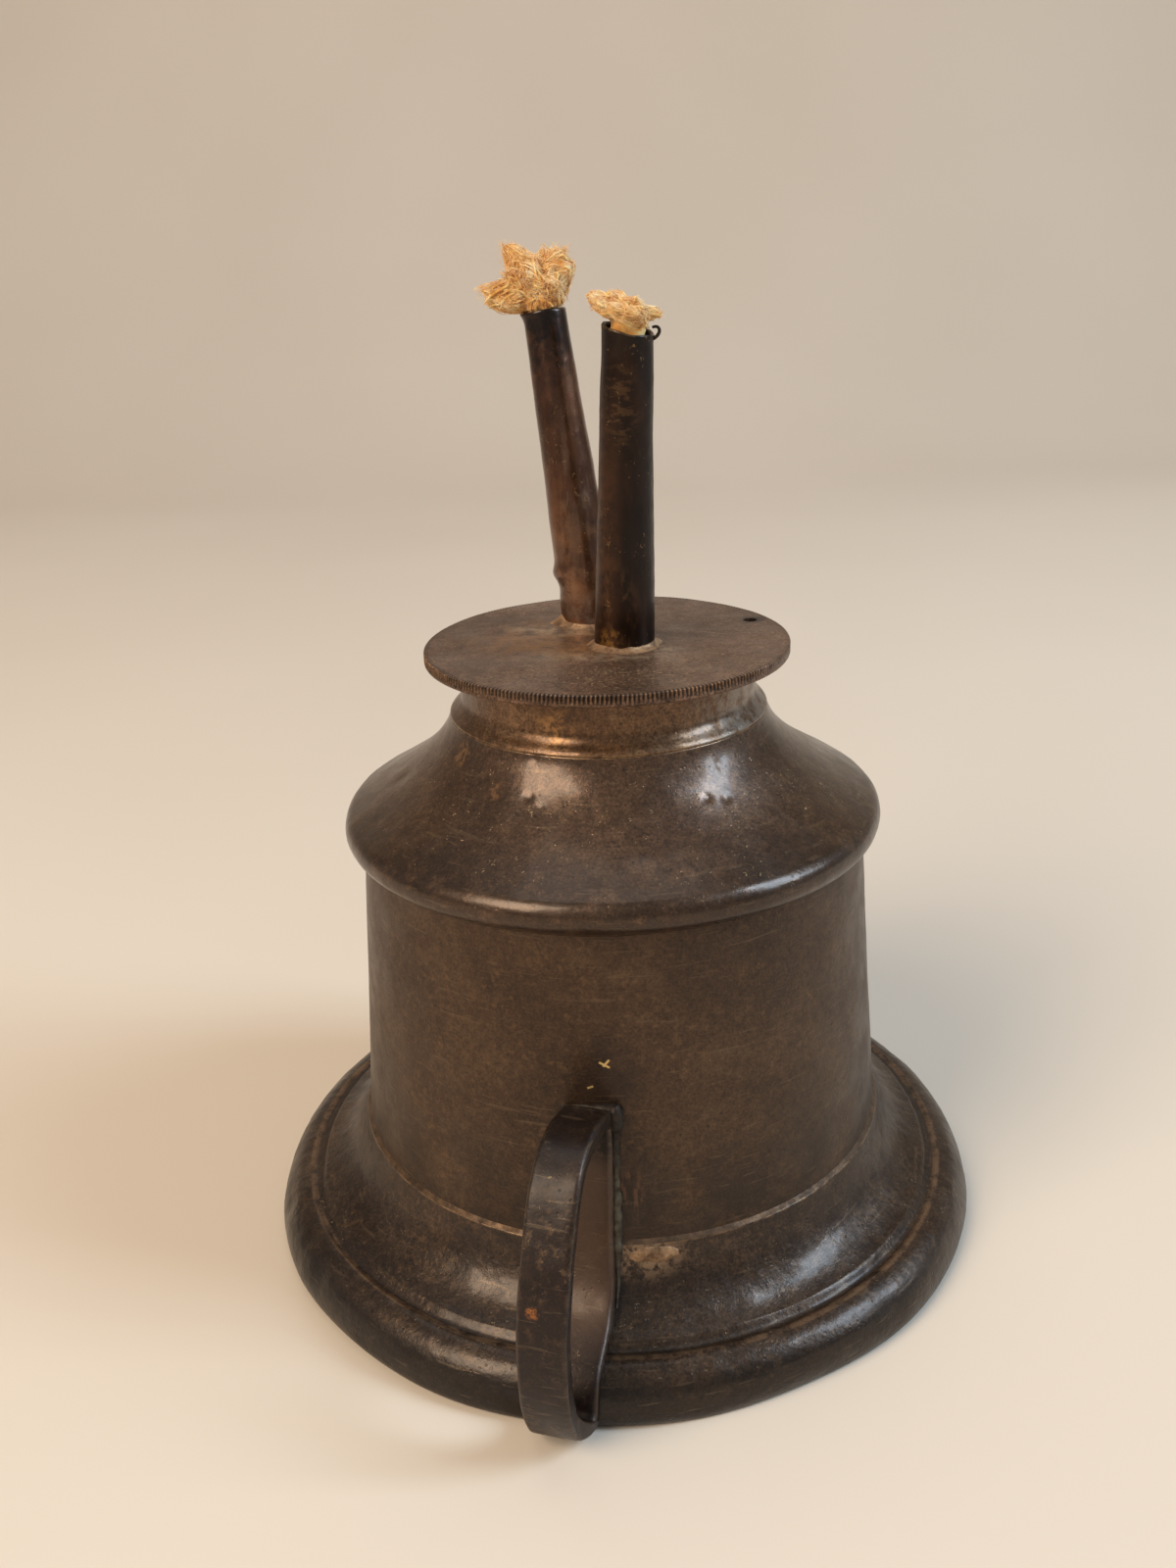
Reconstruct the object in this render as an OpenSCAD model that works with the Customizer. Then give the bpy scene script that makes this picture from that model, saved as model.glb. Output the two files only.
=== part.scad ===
// Finger lamp: a small pewter fluid lamp with a screwed burner disc, two wick tubes and a finger ring.
// Millimetres, +Z up. The origin is the centre of the foot, on the surface that the lamp stands on.
// -Y is the front, where the finger ring is.

/* [Foot] */
// Diameter across the rounded edge at the bottom
base_d = 90.8; // [86:0.2:100]
// Height of that edge, up to the groove
edge_h = 6.4; // [5:0.1:7.5]
// Width of its rounding, seen from above
edge_w = 4; // [3:0.1:4.6]
// Height at which the edge is widest
edge_low = 1.4; // [0.8:0.1:2.4]
// How far it turns in from there down to the table
edge_in = 0.9; // [0.4:0.1:1.4]
// Width of the turned groove above the edge
groove_w = 1.1; // [0.7:0.1:1.6]
// Depth of that groove
groove_d = 0.5; // [0.2:0.1:0.6]
// Thickness of the spun metal of the foot
foot_t = 1.6; // [1.2:0.1:2]
// Height of the joint between the foot and the font wall
joint_z = 14.7; // [13:0.1:18]
// How far the wall reaches down inside the foot's lip
lap = 3; // [2:0.1:4]
// Width of the foot's lip beside the wall
lip_w = 0.4; // [0.3:0.05:0.6]

/* [Font] */
// Outer radius of the wall at the joint with the foot
wall_r_low = 33.1; // [31:0.1:35]
// Outer radius of the wall under the rolled rim
wall_r_top = 30.45; // [29:0.05:32]
// Thickness of the wall
wall_t = 1.3; // [1:0.1:1.8]
// Height of the wall that shows, from the foot to the rolled rim
wall_h = 37.5; // [30:0.5:50]
// Thickness of the floor of the reservoir
floor_t = 1.5; // [1:0.1:2.5]
// Height of the floor's underside over the joint
floor_up = 0.5; // [0.2:0.1:3]
// Leg of the solder fillets
solder_leg = 0.4; // [0.2:0.05:0.5]

/* [Shoulder] */
// Radius of the rolled rim's section
roll_r = 2.2; // [1.8:0.1:2.6]
// How far the centre of the roll lies inside the wall's outer face
roll_in = 0.15; // [0:0.05:0.4]
// Height of the neck over the underside of the rolled rim
shoulder_h = 15; // [13:0.5:20]
// Radius of the neck where the collar sits
neck_r = 18.9; // [18.6:0.1:20]
// Thickness of the shoulder
shoulder_t = 1.4; // [1.1:0.1:1.7]
// Depth of the neck's seat for the collar
neck_step = 1.7; // [1.4:0.1:2.2]
// How far the wall stands up inside the roll
wall_into_roll = 2.8; // [2.4:0.1:3]

/* [Collar] */
// Outer radius of the collar
collar_r = 17.5; // [17.2:0.1:18]
// Height of the collar over the neck
collar_h = 6; // [5:0.1:9]
// Height of the flange's square edge
flange_h = 0.5; // [0.3:0.1:0.8]
// Radius of the cove between the flange and the collar
cove_r = 0.5; // [0.3:0.05:0.6]
// Crest radius of the screw thread in the collar
thread_r = 15.9; // [15:0.05:16.2]
// Depth of the thread
thread_d = 0.5; // [0.3:0.05:0.6]
// Pitch of the thread
thread_p = 1.6; // [1.2:0.1:2]
// Length of the spigot that goes down into the neck
spigot_h = 2.5; // [2:0.1:4]
// Radius taken off the collar to make the spigot
spigot_step = 0.6; // [0.4:0.05:0.8]

/* [Burner] */
// Diameter of the burner disc
disc_d = 43; // [41:0.5:48]
// Thickness of the disc
disc_t = 1.3; // [1:0.1:2]
// Depth of the milling on the disc's edge
mill_d = 0.25; // [0.1:0.05:0.4]
// Spacing of the milling
mill_p = 0.48; // [0.4:0.01:1]
// Thickness of the leather washer under the disc
washer_t = 0.5; // [0.3:0.1:1.2]
// Gap between the washer and the plug
washer_gap = 0.3; // [0.2:0.05:0.5]
// Inset of the washer from the collar's outer face
washer_in = 0.2; // [0:0.05:0.4]
// Length of the screw plug under the disc
plug_h = 6; // [5:0.1:8]
// Radial gap between the plug's thread crests and the collar's
plug_gap = 0.15; // [0.1:0.05:0.3]
// Wall of the plug under its thread
plug_t = 1.6; // [1.2:0.1:1.8]
// Radius of the snuffer chain's hole
chain_r = 0.85; // [0.6:0.05:1.2]
// Distance of that hole from the axis
chain_at = 18.9; // [18.4:0.1:19.2]
// Direction of that hole, counted from +X
chain_dir = 21; // [0:1:60]

/* [Wick tubes] */
// Outer radius of the front tube at the disc
front_r = 3.53; // [3.2:0.01:3.8]
// Outer radius of the front tube at its mouth
front_tip_r = 2.74; // [2.6:0.01:3.1]
// Length of the front tube over the disc
front_len = 35.6; // [28:0.1:42]
// Lean of the front tube from upright
front_lean = 4.5; // [2:0.1:8]
// Outer radius of the back tube at the disc
back_r = 3.65; // [3.3:0.01:3.8]
// Outer radius of the back tube at its mouth
back_tip_r = 2.5; // [2.4:0.01:3]
// Length of the back tube over the disc
back_len = 36.9; // [30:0.1:44]
// Lean of the back tube from upright
back_lean = 9.1; // [5:0.1:11]
// Sheet thickness of the tubes
tube_t = 0.45; // [0.3:0.05:0.6]
// How far the tubes reach through under the disc's top
tube_under = 2.6; // [2.2:0.1:4]
// Width of the solder round the foot of each tube
tube_solder_w = 1; // [0.6:0.1:1.4]
// Height of that solder
tube_solder_h = 0.6; // [0.3:0.1:1]

/* [Wicks] */
// Gap between a wick and its tube's mouth
wick_gap = 0.3; // [0.2:0.05:0.5]
// Length of wick below the disc that still follows its tube
wick_stiff = 14; // [10:1:18]
// Height of the wick tails over the floor
tail_up = 5; // [2:0.5:12]
// Radius of the front wick's frayed end, without its points
front_fray_r = 2.1; // [1.7:0.05:2.4]
// Radius of the back wick's frayed end, without its points
back_fray_r = 2.45; // [1.9:0.05:2.8]

/* [Finger ring] */
// Width of the ring's strap
ring_w = 5.4; // [4:0.1:7]
// Thickness of the strap
ring_t = 2; // [1.6:0.1:2.4]
// Thickness of the part of the strap that lies on the lamp
ring_back_t = 1.2; // [1:0.1:1.8]
// Width to which that part spreads on the foot's edge
ring_foot_w = 7.6; // [6.6:0.1:9]
// How far the ring stands out beyond the foot
ring_out = 6.8; // [5:0.1:9]
// Height of the ring's top at the wall
ring_top = 31.4; // [30:0.1:36]
// Rise of the ring's top over its end at the wall
ring_rise = 2.7; // [1.5:0.1:4]
// Height of the ring's lowest point
ring_low = 1.2; // [0.8:0.1:2]
// Direction in which the ring stands out, counted from +X
ring_dir = -105.5; // [-110:0.5:-90]
// Width of the solder beside the strap
ring_solder_w = 0.8; // [0.4:0.1:1.2]
// Thickness of that solder on the lamp
ring_solder_t = 0.6; // [0.4:0.1:0.9]
// Thickness of the repair patch on the foot
patch_t = 0.25; // [0.15:0.05:0.4]

/* [Hidden] */
$fn = 96;

foot_r = base_d / 2;
edge_c = [foot_r - edge_w, edge_low];
rim_z = joint_z + wall_h;               // underside of the rolled rim
neck_z = rim_z + shoulder_h;
collar_z = neck_z + collar_h;           // top of the collar
disc_z = collar_z + washer_t;           // underside of the disc
top_z = disc_z + disc_t;
floor_z = joint_z + floor_up;
lap_z = joint_z - lap;
wall_end = rim_z + wall_into_roll;
spigot_r = collar_r - spigot_step;
plug_r = thread_r - plug_gap;
roll_c = [wall_r_top - roll_in, rim_z + roll_r * cos(15)];
mill_n = round(PI * disc_d / mill_p);

// Where the tubes stand on the disc, and the directions in which they lean
front_at = [2.1, -1.9];
front_dir = -64;
back_at = [-1.7, 9];
back_dir = 138;
// Where the strap's middle plane starts, just inside the wall, and how far out from there the ring goes
ring_r0 = wall_o(ring_top) - 0.34;
ring_at_dir = -96.2;
ring_at = ring_r0 * [cos(ring_at_dir), sin(ring_at_dir)];
ring_far = foot_r - ring_r0 + ring_out;
ring_solder_z = 1.3 * edge_h;
// Frayed ends of the wicks: where cotton stands out, each as direction from +X, rise, reach and sharpness,
// with the reach counted in radii of the frayed end
front_fray = [[180, 15, 0.33, 6], [0, 0, 0.24, 8], [165, 30, 0.43, 40], [195, 15, 0.38, 40],
              [240, 30, 0.33, 40], [285, 15, 0.38, 40], [330, 30, 0.38, 40], [15, 15, 0.43, 40],
              [60, 30, 0.38, 40], [120, 45, 0.33, 40], [90, 15, 0.33, 40], [210, 60, 0.29, 40],
              [315, 60, 0.24, 40]];
back_fray = [[165, 45, 0.65, 4], [15, 45, 0.61, 4], [0, 90, 0.41, 3], [180, 0, 0.82, 14], [180, 15, 1.22, 50],
             [165, 60, 1.27, 60], [30, 60, 1.06, 60], [0, 30, 0.37, 40], [270, 75, 0.41, 40],
             [240, 30, 0.41, 40], [285, 15, 0.37, 40], [315, 45, 0.37, 40], [90, 30, 0.41, 40],
             [60, 15, 0.33, 40], [120, 60, 0.37, 40], [210, -15, 0.65, 40], [195, 75, 0.33, 40],
             [135, 0, 0.37, 40]];

pewter = [0.26, 0.23, 0.20];
worn = [0.42, 0.39, 0.35];
solder = [0.55, 0.50, 0.42];
patina = [0.30, 0.19, 0.13];
cotton = [0.86, 0.72, 0.45];
hide = [0.35, 0.24, 0.15];

// Outer and inner radius of the tapered wall at a height
function wall_o(z) = wall_r_low + (wall_r_top - wall_r_low) * (z - joint_z) / wall_h;
function wall_i(z) = wall_o(z) - wall_t;

// Points of an oval, of an arc, and of a cubic curve
function oval(c, r, a0, a1, n) = [for (i = [0:n]) let (a = a0 + (a1 - a0) * i / n)
    c + [r[0] * cos(a), r[1] * sin(a)]];
function arc(c, r, a0, a1, n) = oval(c, [r, r], a0, a1, n);
function curve(p, n) = [for (i = [0:n]) let (t = i / n, u = 1 - t)
    u * u * u * p[0] + 3 * u * u * t * p[1] + 3 * u * t * t * p[2] + t * t * t * p[3]];

// A path without its first point, to follow on from another
function later(p) = [for (i = [1:len(p) - 1]) p[i]];

// A path moved sideways, to the right of its own direction
function heading(p, i) = let (d = p[min(i + 1, len(p) - 1)] - p[max(i - 1, 0)]) d / norm(d);
function skin(p, t) = [for (i = [0:len(p) - 1]) let (h = heading(p, i)) p[i] + t * [h[1], -h[0]]];

// The foot's outer face: the rounded edge, the groove and the flared skirt up to the lip
edge = concat(oval([foot_r - edge_in, edge_low], [edge_in, edge_low], -90, 0, 4),
    later(oval(edge_c, [edge_w, edge_h - edge_low], 0, 94, 14)));
edge_top = edge[18];
skirt_low = edge_top + [-groove_w, groove_d];
skirt_top = [wall_r_low + lip_w, joint_z];
skirt = curve([skirt_low, skirt_low + [-3.6, 0.9], skirt_top + [0.8, -4.4], skirt_top], 12);
foot_out = concat(edge, [edge_top - [groove_w / 2, groove_d]], skirt);

// The shoulder's outer face: the cove from the neck down, which runs smoothly on to the roll
roll_on = 60;
roll = arc(roll_c, roll_r, roll_on, -75, 14);
cove = curve([[neck_r, neck_z], [neck_r + 1.3, neck_z - 4.7],
              roll[0] - 2.5 * roll_r * [sin(roll_on), -cos(roll_on)], roll[0]], 14);

// Everything that the finger ring lies on, as one solid turned shape
body_out = concat([[0, 0]], foot_out, [[wall_o(joint_z) + solder_leg, joint_z],
    [wall_o(joint_z + solder_leg), joint_z + solder_leg], [wall_o(rim_z), rim_z], [0, rim_z]]);

module turned(points, sides = 96) { rotate_extrude($fn = sides) polygon(points); }

// Zigzag of thread crests and roots going down from a height
function thread(r, d, z, n) = [for (i = [0:n - 1]) each [[r, z - i * thread_p],
    [r + d, z - (i + 0.35) * thread_p], [r + d, z - (i + 0.5) * thread_p], [r, z - (i + 0.85) * thread_p]]];

module foot() {
    under = [for (q = skin(skirt, -foot_t)) if (q[0] > wall_i(lap_z) + 0.5 && q[1] < lap_z - 0.6) q];
    rest_in = edge_c[0] + 0.1 * edge_w;
    color(pewter) turned(concat(foot_out,
        [[wall_o(joint_z), joint_z], [wall_o(lap_z), lap_z], [wall_i(lap_z), lap_z],
         [wall_i(lap_z), lap_z - 1.2]],
        [for (i = [len(under) - 1:-1:0]) if (under[i][0] < rest_in - 0.3 && under[i][1] < lap_z - 1.5) under[i]],
        [[rest_in, edge_top[1] - foot_t - 0.4], [rest_in, 0]]));
}

module font_wall() {
    color(pewter) turned([[wall_i(lap_z), lap_z], [wall_o(lap_z), lap_z],
                          [wall_o(wall_end), wall_end], [wall_i(wall_end), wall_end]]);
}

module font_floor() {
    z1 = floor_z + floor_t;
    color(worn) turned([[0, floor_z], [wall_i(floor_z), floor_z], [wall_i(z1), z1], [0, z1]]);
}

module shoulder() {
    seat_z = neck_z - neck_step;
    under = [for (q = skin(cove, shoulder_t)) if (q[1] > wall_end + 0.2 && q[1] < seat_z - 0.6
        && q[0] > spigot_r + solder_leg + 0.3 && q[0] < wall_i(wall_end) - 0.1) q];
    color(pewter) turned(concat(cove, later(roll), [[wall_o(roll[14][1]), roll[14][1]],
        [wall_o(wall_end), wall_end], [wall_i(wall_end), wall_end]],
        [for (i = [len(under) - 1:-1:0]) under[i]],
        [[spigot_r + solder_leg + 0.1, seat_z], [spigot_r, seat_z], [spigot_r, neck_z]]));
}

module collar() {
    turns = floor((collar_h - 1) / thread_p);
    edge = neck_z + flange_h;
    color(worn) turned(concat([[neck_r, neck_z], [neck_r, edge]],
        arc([neck_r - 0.35, edge], 0.35, 15, 90, 4),
        arc([collar_r + cove_r, edge + 0.35 + cove_r], cove_r, 270, 180, 5),
        [[collar_r, collar_z - 0.2], [collar_r - 0.2, collar_z], [thread_r + thread_d, collar_z]],
        thread(thread_r, thread_d, collar_z - 0.7, turns),
        [[thread_r, neck_z - spigot_h], [spigot_r, neck_z - spigot_h], [spigot_r, neck_z]]));
}

module burner_disc() {
    r = disc_d / 2;
    color(pewter) difference() {
        translate([0, 0, disc_z]) linear_extrude(disc_t)
            polygon([for (i = [0:mill_n - 1]) each [r * [cos(360 * i / mill_n), sin(360 * i / mill_n)],
                (r - mill_d) * [cos(360 * (i + 0.5) / mill_n), sin(360 * (i + 0.5) / mill_n)]]]);
        front_place() tube_outside(front_r, front_tip_r, front_len, 5);
        back_place() tube_outside(back_r, back_tip_r, back_len, 5);
        rotate(chain_dir) translate([chain_at, 0, disc_z - 1]) cylinder(h = disc_t + 2, r = chain_r);
    }
}

module screw_plug() {
    turns = floor((plug_h - 1) / thread_p);
    color(worn) turned(concat([[plug_r - thread_d - plug_t, disc_z]],
        [[plug_r - thread_d, disc_z]],
        thread(plug_r - thread_d, thread_d, disc_z - 0.6, turns),
        [[plug_r - thread_d, disc_z - plug_h], [plug_r - thread_d - plug_t, disc_z - plug_h]]));
}

module washer() {
    color(hide) turned([[plug_r + washer_gap, collar_z], [collar_r - washer_in, collar_z],
                        [collar_r - washer_in, disc_z], [plug_r + washer_gap, disc_z]]);
}

// A tube's own frame: its axis is +Z and its origin lies on the disc's top
module front_place() { translate([front_at[0], front_at[1], top_z]) rotate([0, front_lean, front_dir]) children(); }
module back_place() { translate([back_at[0], back_at[1], top_z]) rotate([0, back_lean, back_dir]) children(); }

// The tapered outside of a tube, drawn out by some length at both ends
module tube_outside(r0, r1, l, more) {
    k = (r1 - r0) / l;
    translate([0, 0, -more]) cylinder(h = l + 2 * more, r1 = r0 - k * more, r2 = r1 + k * more);
}

module wick_tube(r0, r1, l) {
    k = (r1 - r0) / l;
    difference() {
        translate([0, 0, -tube_under]) cylinder(h = l + tube_under, r1 = r0 - k * tube_under, r2 = r1);
        tube_outside(r0 - tube_t, r1 - tube_t, l, 6);
    }
}

module front_tube() { color(patina) front_place() wick_tube(front_r, front_tip_r, front_len); }
module back_tube() { color(patina) back_place() wick_tube(back_r, back_tip_r, back_len); }

// Solder round the foot of a tube: a low cone on the disc, opened by the tube
module tube_solder(at, r0) {
    translate([at[0], at[1], top_z]) cylinder(h = tube_solder_h, r1 = r0 + tube_solder_w, r2 = r0 + 0.25);
}
module front_tube_solder() {
    color(solder) difference() {
        tube_solder(front_at, front_r);
        front_place() tube_outside(front_r, front_tip_r, front_len, 5);
    }
}
module back_tube_solder() {
    color(solder) difference() {
        tube_solder(back_at, back_r);
        back_place() tube_outside(back_r, back_tip_r, back_len, 5);
    }
}

// The straight part of a wick in its tube, then a tail that hangs down to just over the floor
module wick_shaft(at, lean, dir, r, l) {
    bend = [at[0], at[1], top_z] - wick_stiff * [sin(lean) * cos(dir), sin(lean) * sin(dir), cos(lean)];
    low = floor_z + floor_t + tail_up;
    translate([at[0], at[1], top_z]) rotate([0, lean, dir]) translate([0, 0, -wick_stiff])
        cylinder(h = wick_stiff + l, r = r);
    translate(bend) sphere(r = 1.04 * r);
    translate([bend[0], bend[1], low]) cylinder(h = bend[2] - low, r = r);
}

// Frayed cotton on a wick's end: a ball drawn out to points, flat where it meets the tube's mouth
function drawn(d, q) = let (c = d * [cos(q[1]) * cos(q[0]), cos(q[1]) * sin(q[0]), sin(q[1])])
    c > 0 ? q[2] * pow(c, q[3]) : 0;
function total(v) = v * [for (x = v) 1];
function fray_point(az, el, r, up, tall, list) = let (d = [cos(el) * cos(az), cos(el) * sin(az), sin(el)],
    q = d * r * (1 + total([for (f = list) drawn(d, f)]))) [q[0], q[1], max(wick_gap + 0.05, up * r + tall * q[2])];
module tuft(r, up, tall, list) {
    n = 24;
    m = 11;
    polyhedron(
        concat([fray_point(0, -90, r, up, tall, list)],
            [for (j = [1:m], i = [0:n - 1]) fray_point(15 * i, 15 * j - 90, r, up, tall, list)],
            [fray_point(0, 90, r, up, tall, list)]),
        concat([for (i = [0:n - 1]) [0, 1 + i, 1 + (i + 1) % n]],
            [for (j = [0:m - 2], i = [0:n - 1]) let (a = 1 + j * n + i, b = 1 + j * n + (i + 1) % n)
                each [[a, a + n, b], [b, a + n, b + n]]],
            [for (i = [0:n - 1]) [1 + (m - 1) * n + i, 1 + m * n, 1 + (m - 1) * n + (i + 1) % n]]));
}

module front_wick() {
    r = front_tip_r - tube_t - wick_gap;
    color(cotton) {
        wick_shaft(front_at, front_lean, front_dir, r, front_len + 0.8);
        front_place() translate([0, 0, front_len]) rotate(-front_dir) tuft(front_fray_r, 0.52, 0.62, front_fray);
    }
}
module back_wick() {
    r = back_tip_r - tube_t - wick_gap;
    color(cotton) {
        wick_shaft(back_at, back_lean, back_dir, r, back_len + 1);
        back_place() translate([0, 0, back_len]) rotate(-back_dir) tuft(back_fray_r, 0.73, 1, back_fray);
    }
}

// The ring is drawn as an outline in its own upright plane: distance out from the wall, then height
module in_ring_plane(w) {
    translate([ring_at[0], ring_at[1], 0]) rotate([90, 0, ring_dir]) linear_extrude(w, center = true) children();
}
tip = [ring_far * 0.74, ring_top - 2.2];
side = [ring_far, ring_top * 0.43];
ring_curve = concat(
    curve([[-1, ring_top - 0.4], [4.5, ring_top + 1.2 * ring_rise], [tip[0] - 3.6, ring_top + 1.5 * ring_rise], tip], 10),
    later(curve([tip, tip + [3.6, -5.8], side + [0, 5.2], side], 8)),
    later(curve([side, side - [0, 5.6], [ring_far - 1.8, ring_low], [ring_far - 6, ring_low]], 10)));

// The lamp's own outline in that plane, from the foot's edge up the skirt and the wall, grown by a thickness
function lamp_line(t, z1) = [for (q = concat(skin(edge, t), skin(skirt, t),
    [[wall_o(joint_z + 1.5) + t, joint_z + 1.5], [wall_o(z1) + t, z1]])) q - [ring_r0, 0]];

// The ring's outline, closed inside the lamp
ring_outer = concat(ring_curve, [[6, ring_low], [-2, 8], [-2, 24]]);

// The finger hole: the ring's curve drawn in by the strap, closed along the strap that lies on the lamp
back_line = lamp_line(ring_back_t, ring_top + 3);
hole_front = [for (q = skin(ring_curve, ring_t))
    if (q[0] > lookup(q[1], [for (b = back_line) [b[1], b[0]]]) + 0.3) q];
hole_top = hole_front[0][1];
hole_low = hole_front[len(hole_front) - 1][1];
finger_hole = concat(hole_front, [for (q = back_line) if (q[1] > hole_low + 0.2 && q[1] < hole_top - 0.4) q],
    [[wall_o(hole_top) + ring_back_t - ring_r0, hole_top - 0.3]]);

// Everything between two upright sides that spread below the joint, seen from the front
module between(half_top, half_foot) {
    right = [[half_foot, 0], [half_foot, 0.6 * edge_h], [half_top, joint_z + 2], [half_top, ring_top + 4]];
    translate([ring_at[0], ring_at[1], 0]) rotate([90, 0, ring_dir + 90]) linear_extrude(2 * ring_far, center = true)
        polygon(concat(right, [for (i = [3:-1:0]) [-right[i][0], right[i][1]]]));
}

// A layer on the lamp in the ring's plane, of some thickness, between two heights
module layer(t, z0, z1) {
    in_ring_plane(2 * ring_foot_w) polygon(concat([[-2, z0]],
        [for (q = lamp_line(t, z1)) if (q[1] > z0 && q[1] < z1 + 0.01) q], [[-2, z1]]));
}

// The spread of the strap on the skirt and the foot's edge, a little lower than the strap's middle
module strap_foot() {
    intersection() {
        layer(ring_back_t - 0.2, ring_low + 0.4, joint_z + 3);
        between(ring_w / 2 - 0.3, ring_foot_w / 2);
    }
}

module finger_ring() {
    color(pewter) difference() {
        union() {
            difference() {
                in_ring_plane(ring_w) polygon(ring_outer);
                in_ring_plane(ring_w + 2) polygon(finger_hole);
            }
            strap_foot();
        }
        turned(body_out, 360);
    }
}

// Solder runs down both sides of the strap and over its top end
module ring_solder() {
    color(solder) difference() {
        intersection() {
            layer(ring_solder_t, ring_solder_z, ring_top + 1);
            between(ring_w / 2 + ring_solder_w, ring_foot_w / 2 + ring_solder_w);
        }
        in_ring_plane(ring_w) polygon(ring_outer);
        strap_foot();
        turned(body_out, 360);
    }
}

module foot_solder() {
    color(solder) turned([[wall_o(joint_z), joint_z], [wall_o(joint_z) + solder_leg, joint_z],
                          [wall_o(joint_z + solder_leg), joint_z + solder_leg]]);
}

module rim_solder() {
    z = roll[14][1];
    color(solder) turned([[wall_o(z), z], [wall_o(z) + solder_leg, z], [wall_o(z - solder_leg), z - solder_leg]]);
}

module floor_solder() {
    z = floor_z + floor_t;
    color(solder) turned([[wall_i(z), z], [wall_i(z) - 1.5 * solder_leg, z], [wall_i(z + 1.5 * solder_leg), z + 1.5 * solder_leg]]);
}

module neck_solder() {
    z = neck_z - neck_step;
    color(solder) turned([[spigot_r, z], [spigot_r + solder_leg, z], [spigot_r, z - solder_leg]]);
}

module plug_solder() {
    r = plug_r - thread_d - plug_t;
    color(solder) turned([[r, disc_z], [r - solder_leg, disc_z], [r, disc_z - solder_leg]]);
}

module repair_patch() {
    top = [for (q = skirt) if (q[1] > joint_z - 2.4 && q[1] < joint_z - 0.05) q];
    color(solder) rotate(-90) rotate_extrude(angle = 9.5)
        polygon(concat(top, [for (i = [len(top) - 1:-1:0]) skin(top, patch_t)[i]]));
}

foot();
font_wall();
font_floor();
shoulder();
collar();
burner_disc();
screw_plug();
washer();
front_tube();
back_tube();
front_wick();
back_wick();
finger_ring();
foot_solder();
rim_solder();
floor_solder();
neck_solder();
plug_solder();
front_tube_solder();
back_tube_solder();
ring_solder();
repair_patch();
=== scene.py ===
"""Looks of the finger lamp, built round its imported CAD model.

Shapes are worked out in millimetres in the lamp's own frame (+Z up, -Y front, the origin at the
centre of the foot on the table) and become metres when they turn into meshes.
"""
import math

import bpy
import numpy as np
from mathutils import Matrix, Vector


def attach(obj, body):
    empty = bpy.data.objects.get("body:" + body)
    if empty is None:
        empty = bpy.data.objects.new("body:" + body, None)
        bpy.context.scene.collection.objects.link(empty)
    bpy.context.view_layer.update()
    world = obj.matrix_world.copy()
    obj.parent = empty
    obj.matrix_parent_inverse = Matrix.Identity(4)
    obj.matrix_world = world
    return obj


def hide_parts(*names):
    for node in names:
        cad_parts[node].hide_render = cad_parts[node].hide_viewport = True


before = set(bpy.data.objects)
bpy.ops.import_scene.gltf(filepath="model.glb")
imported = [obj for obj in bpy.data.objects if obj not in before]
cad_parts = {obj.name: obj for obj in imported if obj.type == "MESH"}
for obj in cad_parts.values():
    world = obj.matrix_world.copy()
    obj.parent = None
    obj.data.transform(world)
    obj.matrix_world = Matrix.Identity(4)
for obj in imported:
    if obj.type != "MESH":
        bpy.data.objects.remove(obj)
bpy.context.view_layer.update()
MM = 0.001

# ---------------------------------------------------------------- dimensions, as in the CAD part
FOOT_R, EDGE_H, EDGE_W, EDGE_LOW, EDGE_IN = 45.4, 6.4, 4.0, 1.4, 0.9
GROOVE_W, GROOVE_D, FOOT_T = 1.1, 0.5, 1.6
JOINT_Z, LAP, LIP_W = 14.7, 3.0, 0.4
WALL_LOW, WALL_TOP, WALL_T, WALL_H = 33.1, 30.45, 1.3, 37.5
ROLL_R, ROLL_IN, ROLL_ON, SHOULDER_H, NECK_R, SHOULDER_T = 2.2, 0.15, 60, 15.0, 18.9, 1.4
NECK_STEP, WALL_INTO_ROLL, SOLDER_LEG = 1.7, 2.8, 0.4
COLLAR_R, COLLAR_H, FLANGE_H, COVE_R = 17.5, 6.0, 0.5, 0.5
THREAD_R, THREAD_D, THREAD_P, SPIGOT_H, SPIGOT_STEP = 15.9, 0.5, 1.6, 2.5, 0.6
DISC_R, DISC_T, MILL_D, MILL_P, WASHER_T = 21.5, 1.3, 0.25, 0.48, 0.5
PLUG_H, PLUG_GAP, PLUG_T = 6.0, 0.15, 1.6
CHAIN_R, CHAIN_AT, CHAIN_DIR = 0.85, 18.9, 21
TUBE_T, TUBE_UNDER, WICK_GAP, WICK_STIFF, TAIL_UP = 0.45, 2.6, 0.3, 14.0, 5.0
RING_W, RING_T, RING_BACK_T, RING_FOOT_W, RING_OUT = 5.4, 2.0, 1.2, 7.6, 6.8
RING_TOP, RING_RISE, RING_LOW = 31.4, 2.7, 1.2
RING_DIR, RING_AT_DIR = -105.5, -96.2
FLOOR_T, FLOOR_UP, PATCH_T = 1.5, 0.5, 0.25

EDGE_C = np.array([FOOT_R - EDGE_W, EDGE_LOW])
RIM_Z = JOINT_Z + WALL_H
NECK_Z = RIM_Z + SHOULDER_H
COLLAR_Z = NECK_Z + COLLAR_H
DISC_Z = COLLAR_Z + WASHER_T
TOP_Z = DISC_Z + DISC_T
LAP_Z = JOINT_Z - LAP
WALL_END = RIM_Z + WALL_INTO_ROLL
SPIGOT_R = COLLAR_R - SPIGOT_STEP
PLUG_R = THREAD_R - PLUG_GAP
ROLL_C = np.array([WALL_TOP - ROLL_IN, RIM_Z + ROLL_R * math.cos(math.radians(15))])


def direction(degrees):
    return np.array([math.cos(math.radians(degrees)), math.sin(math.radians(degrees))])


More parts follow.
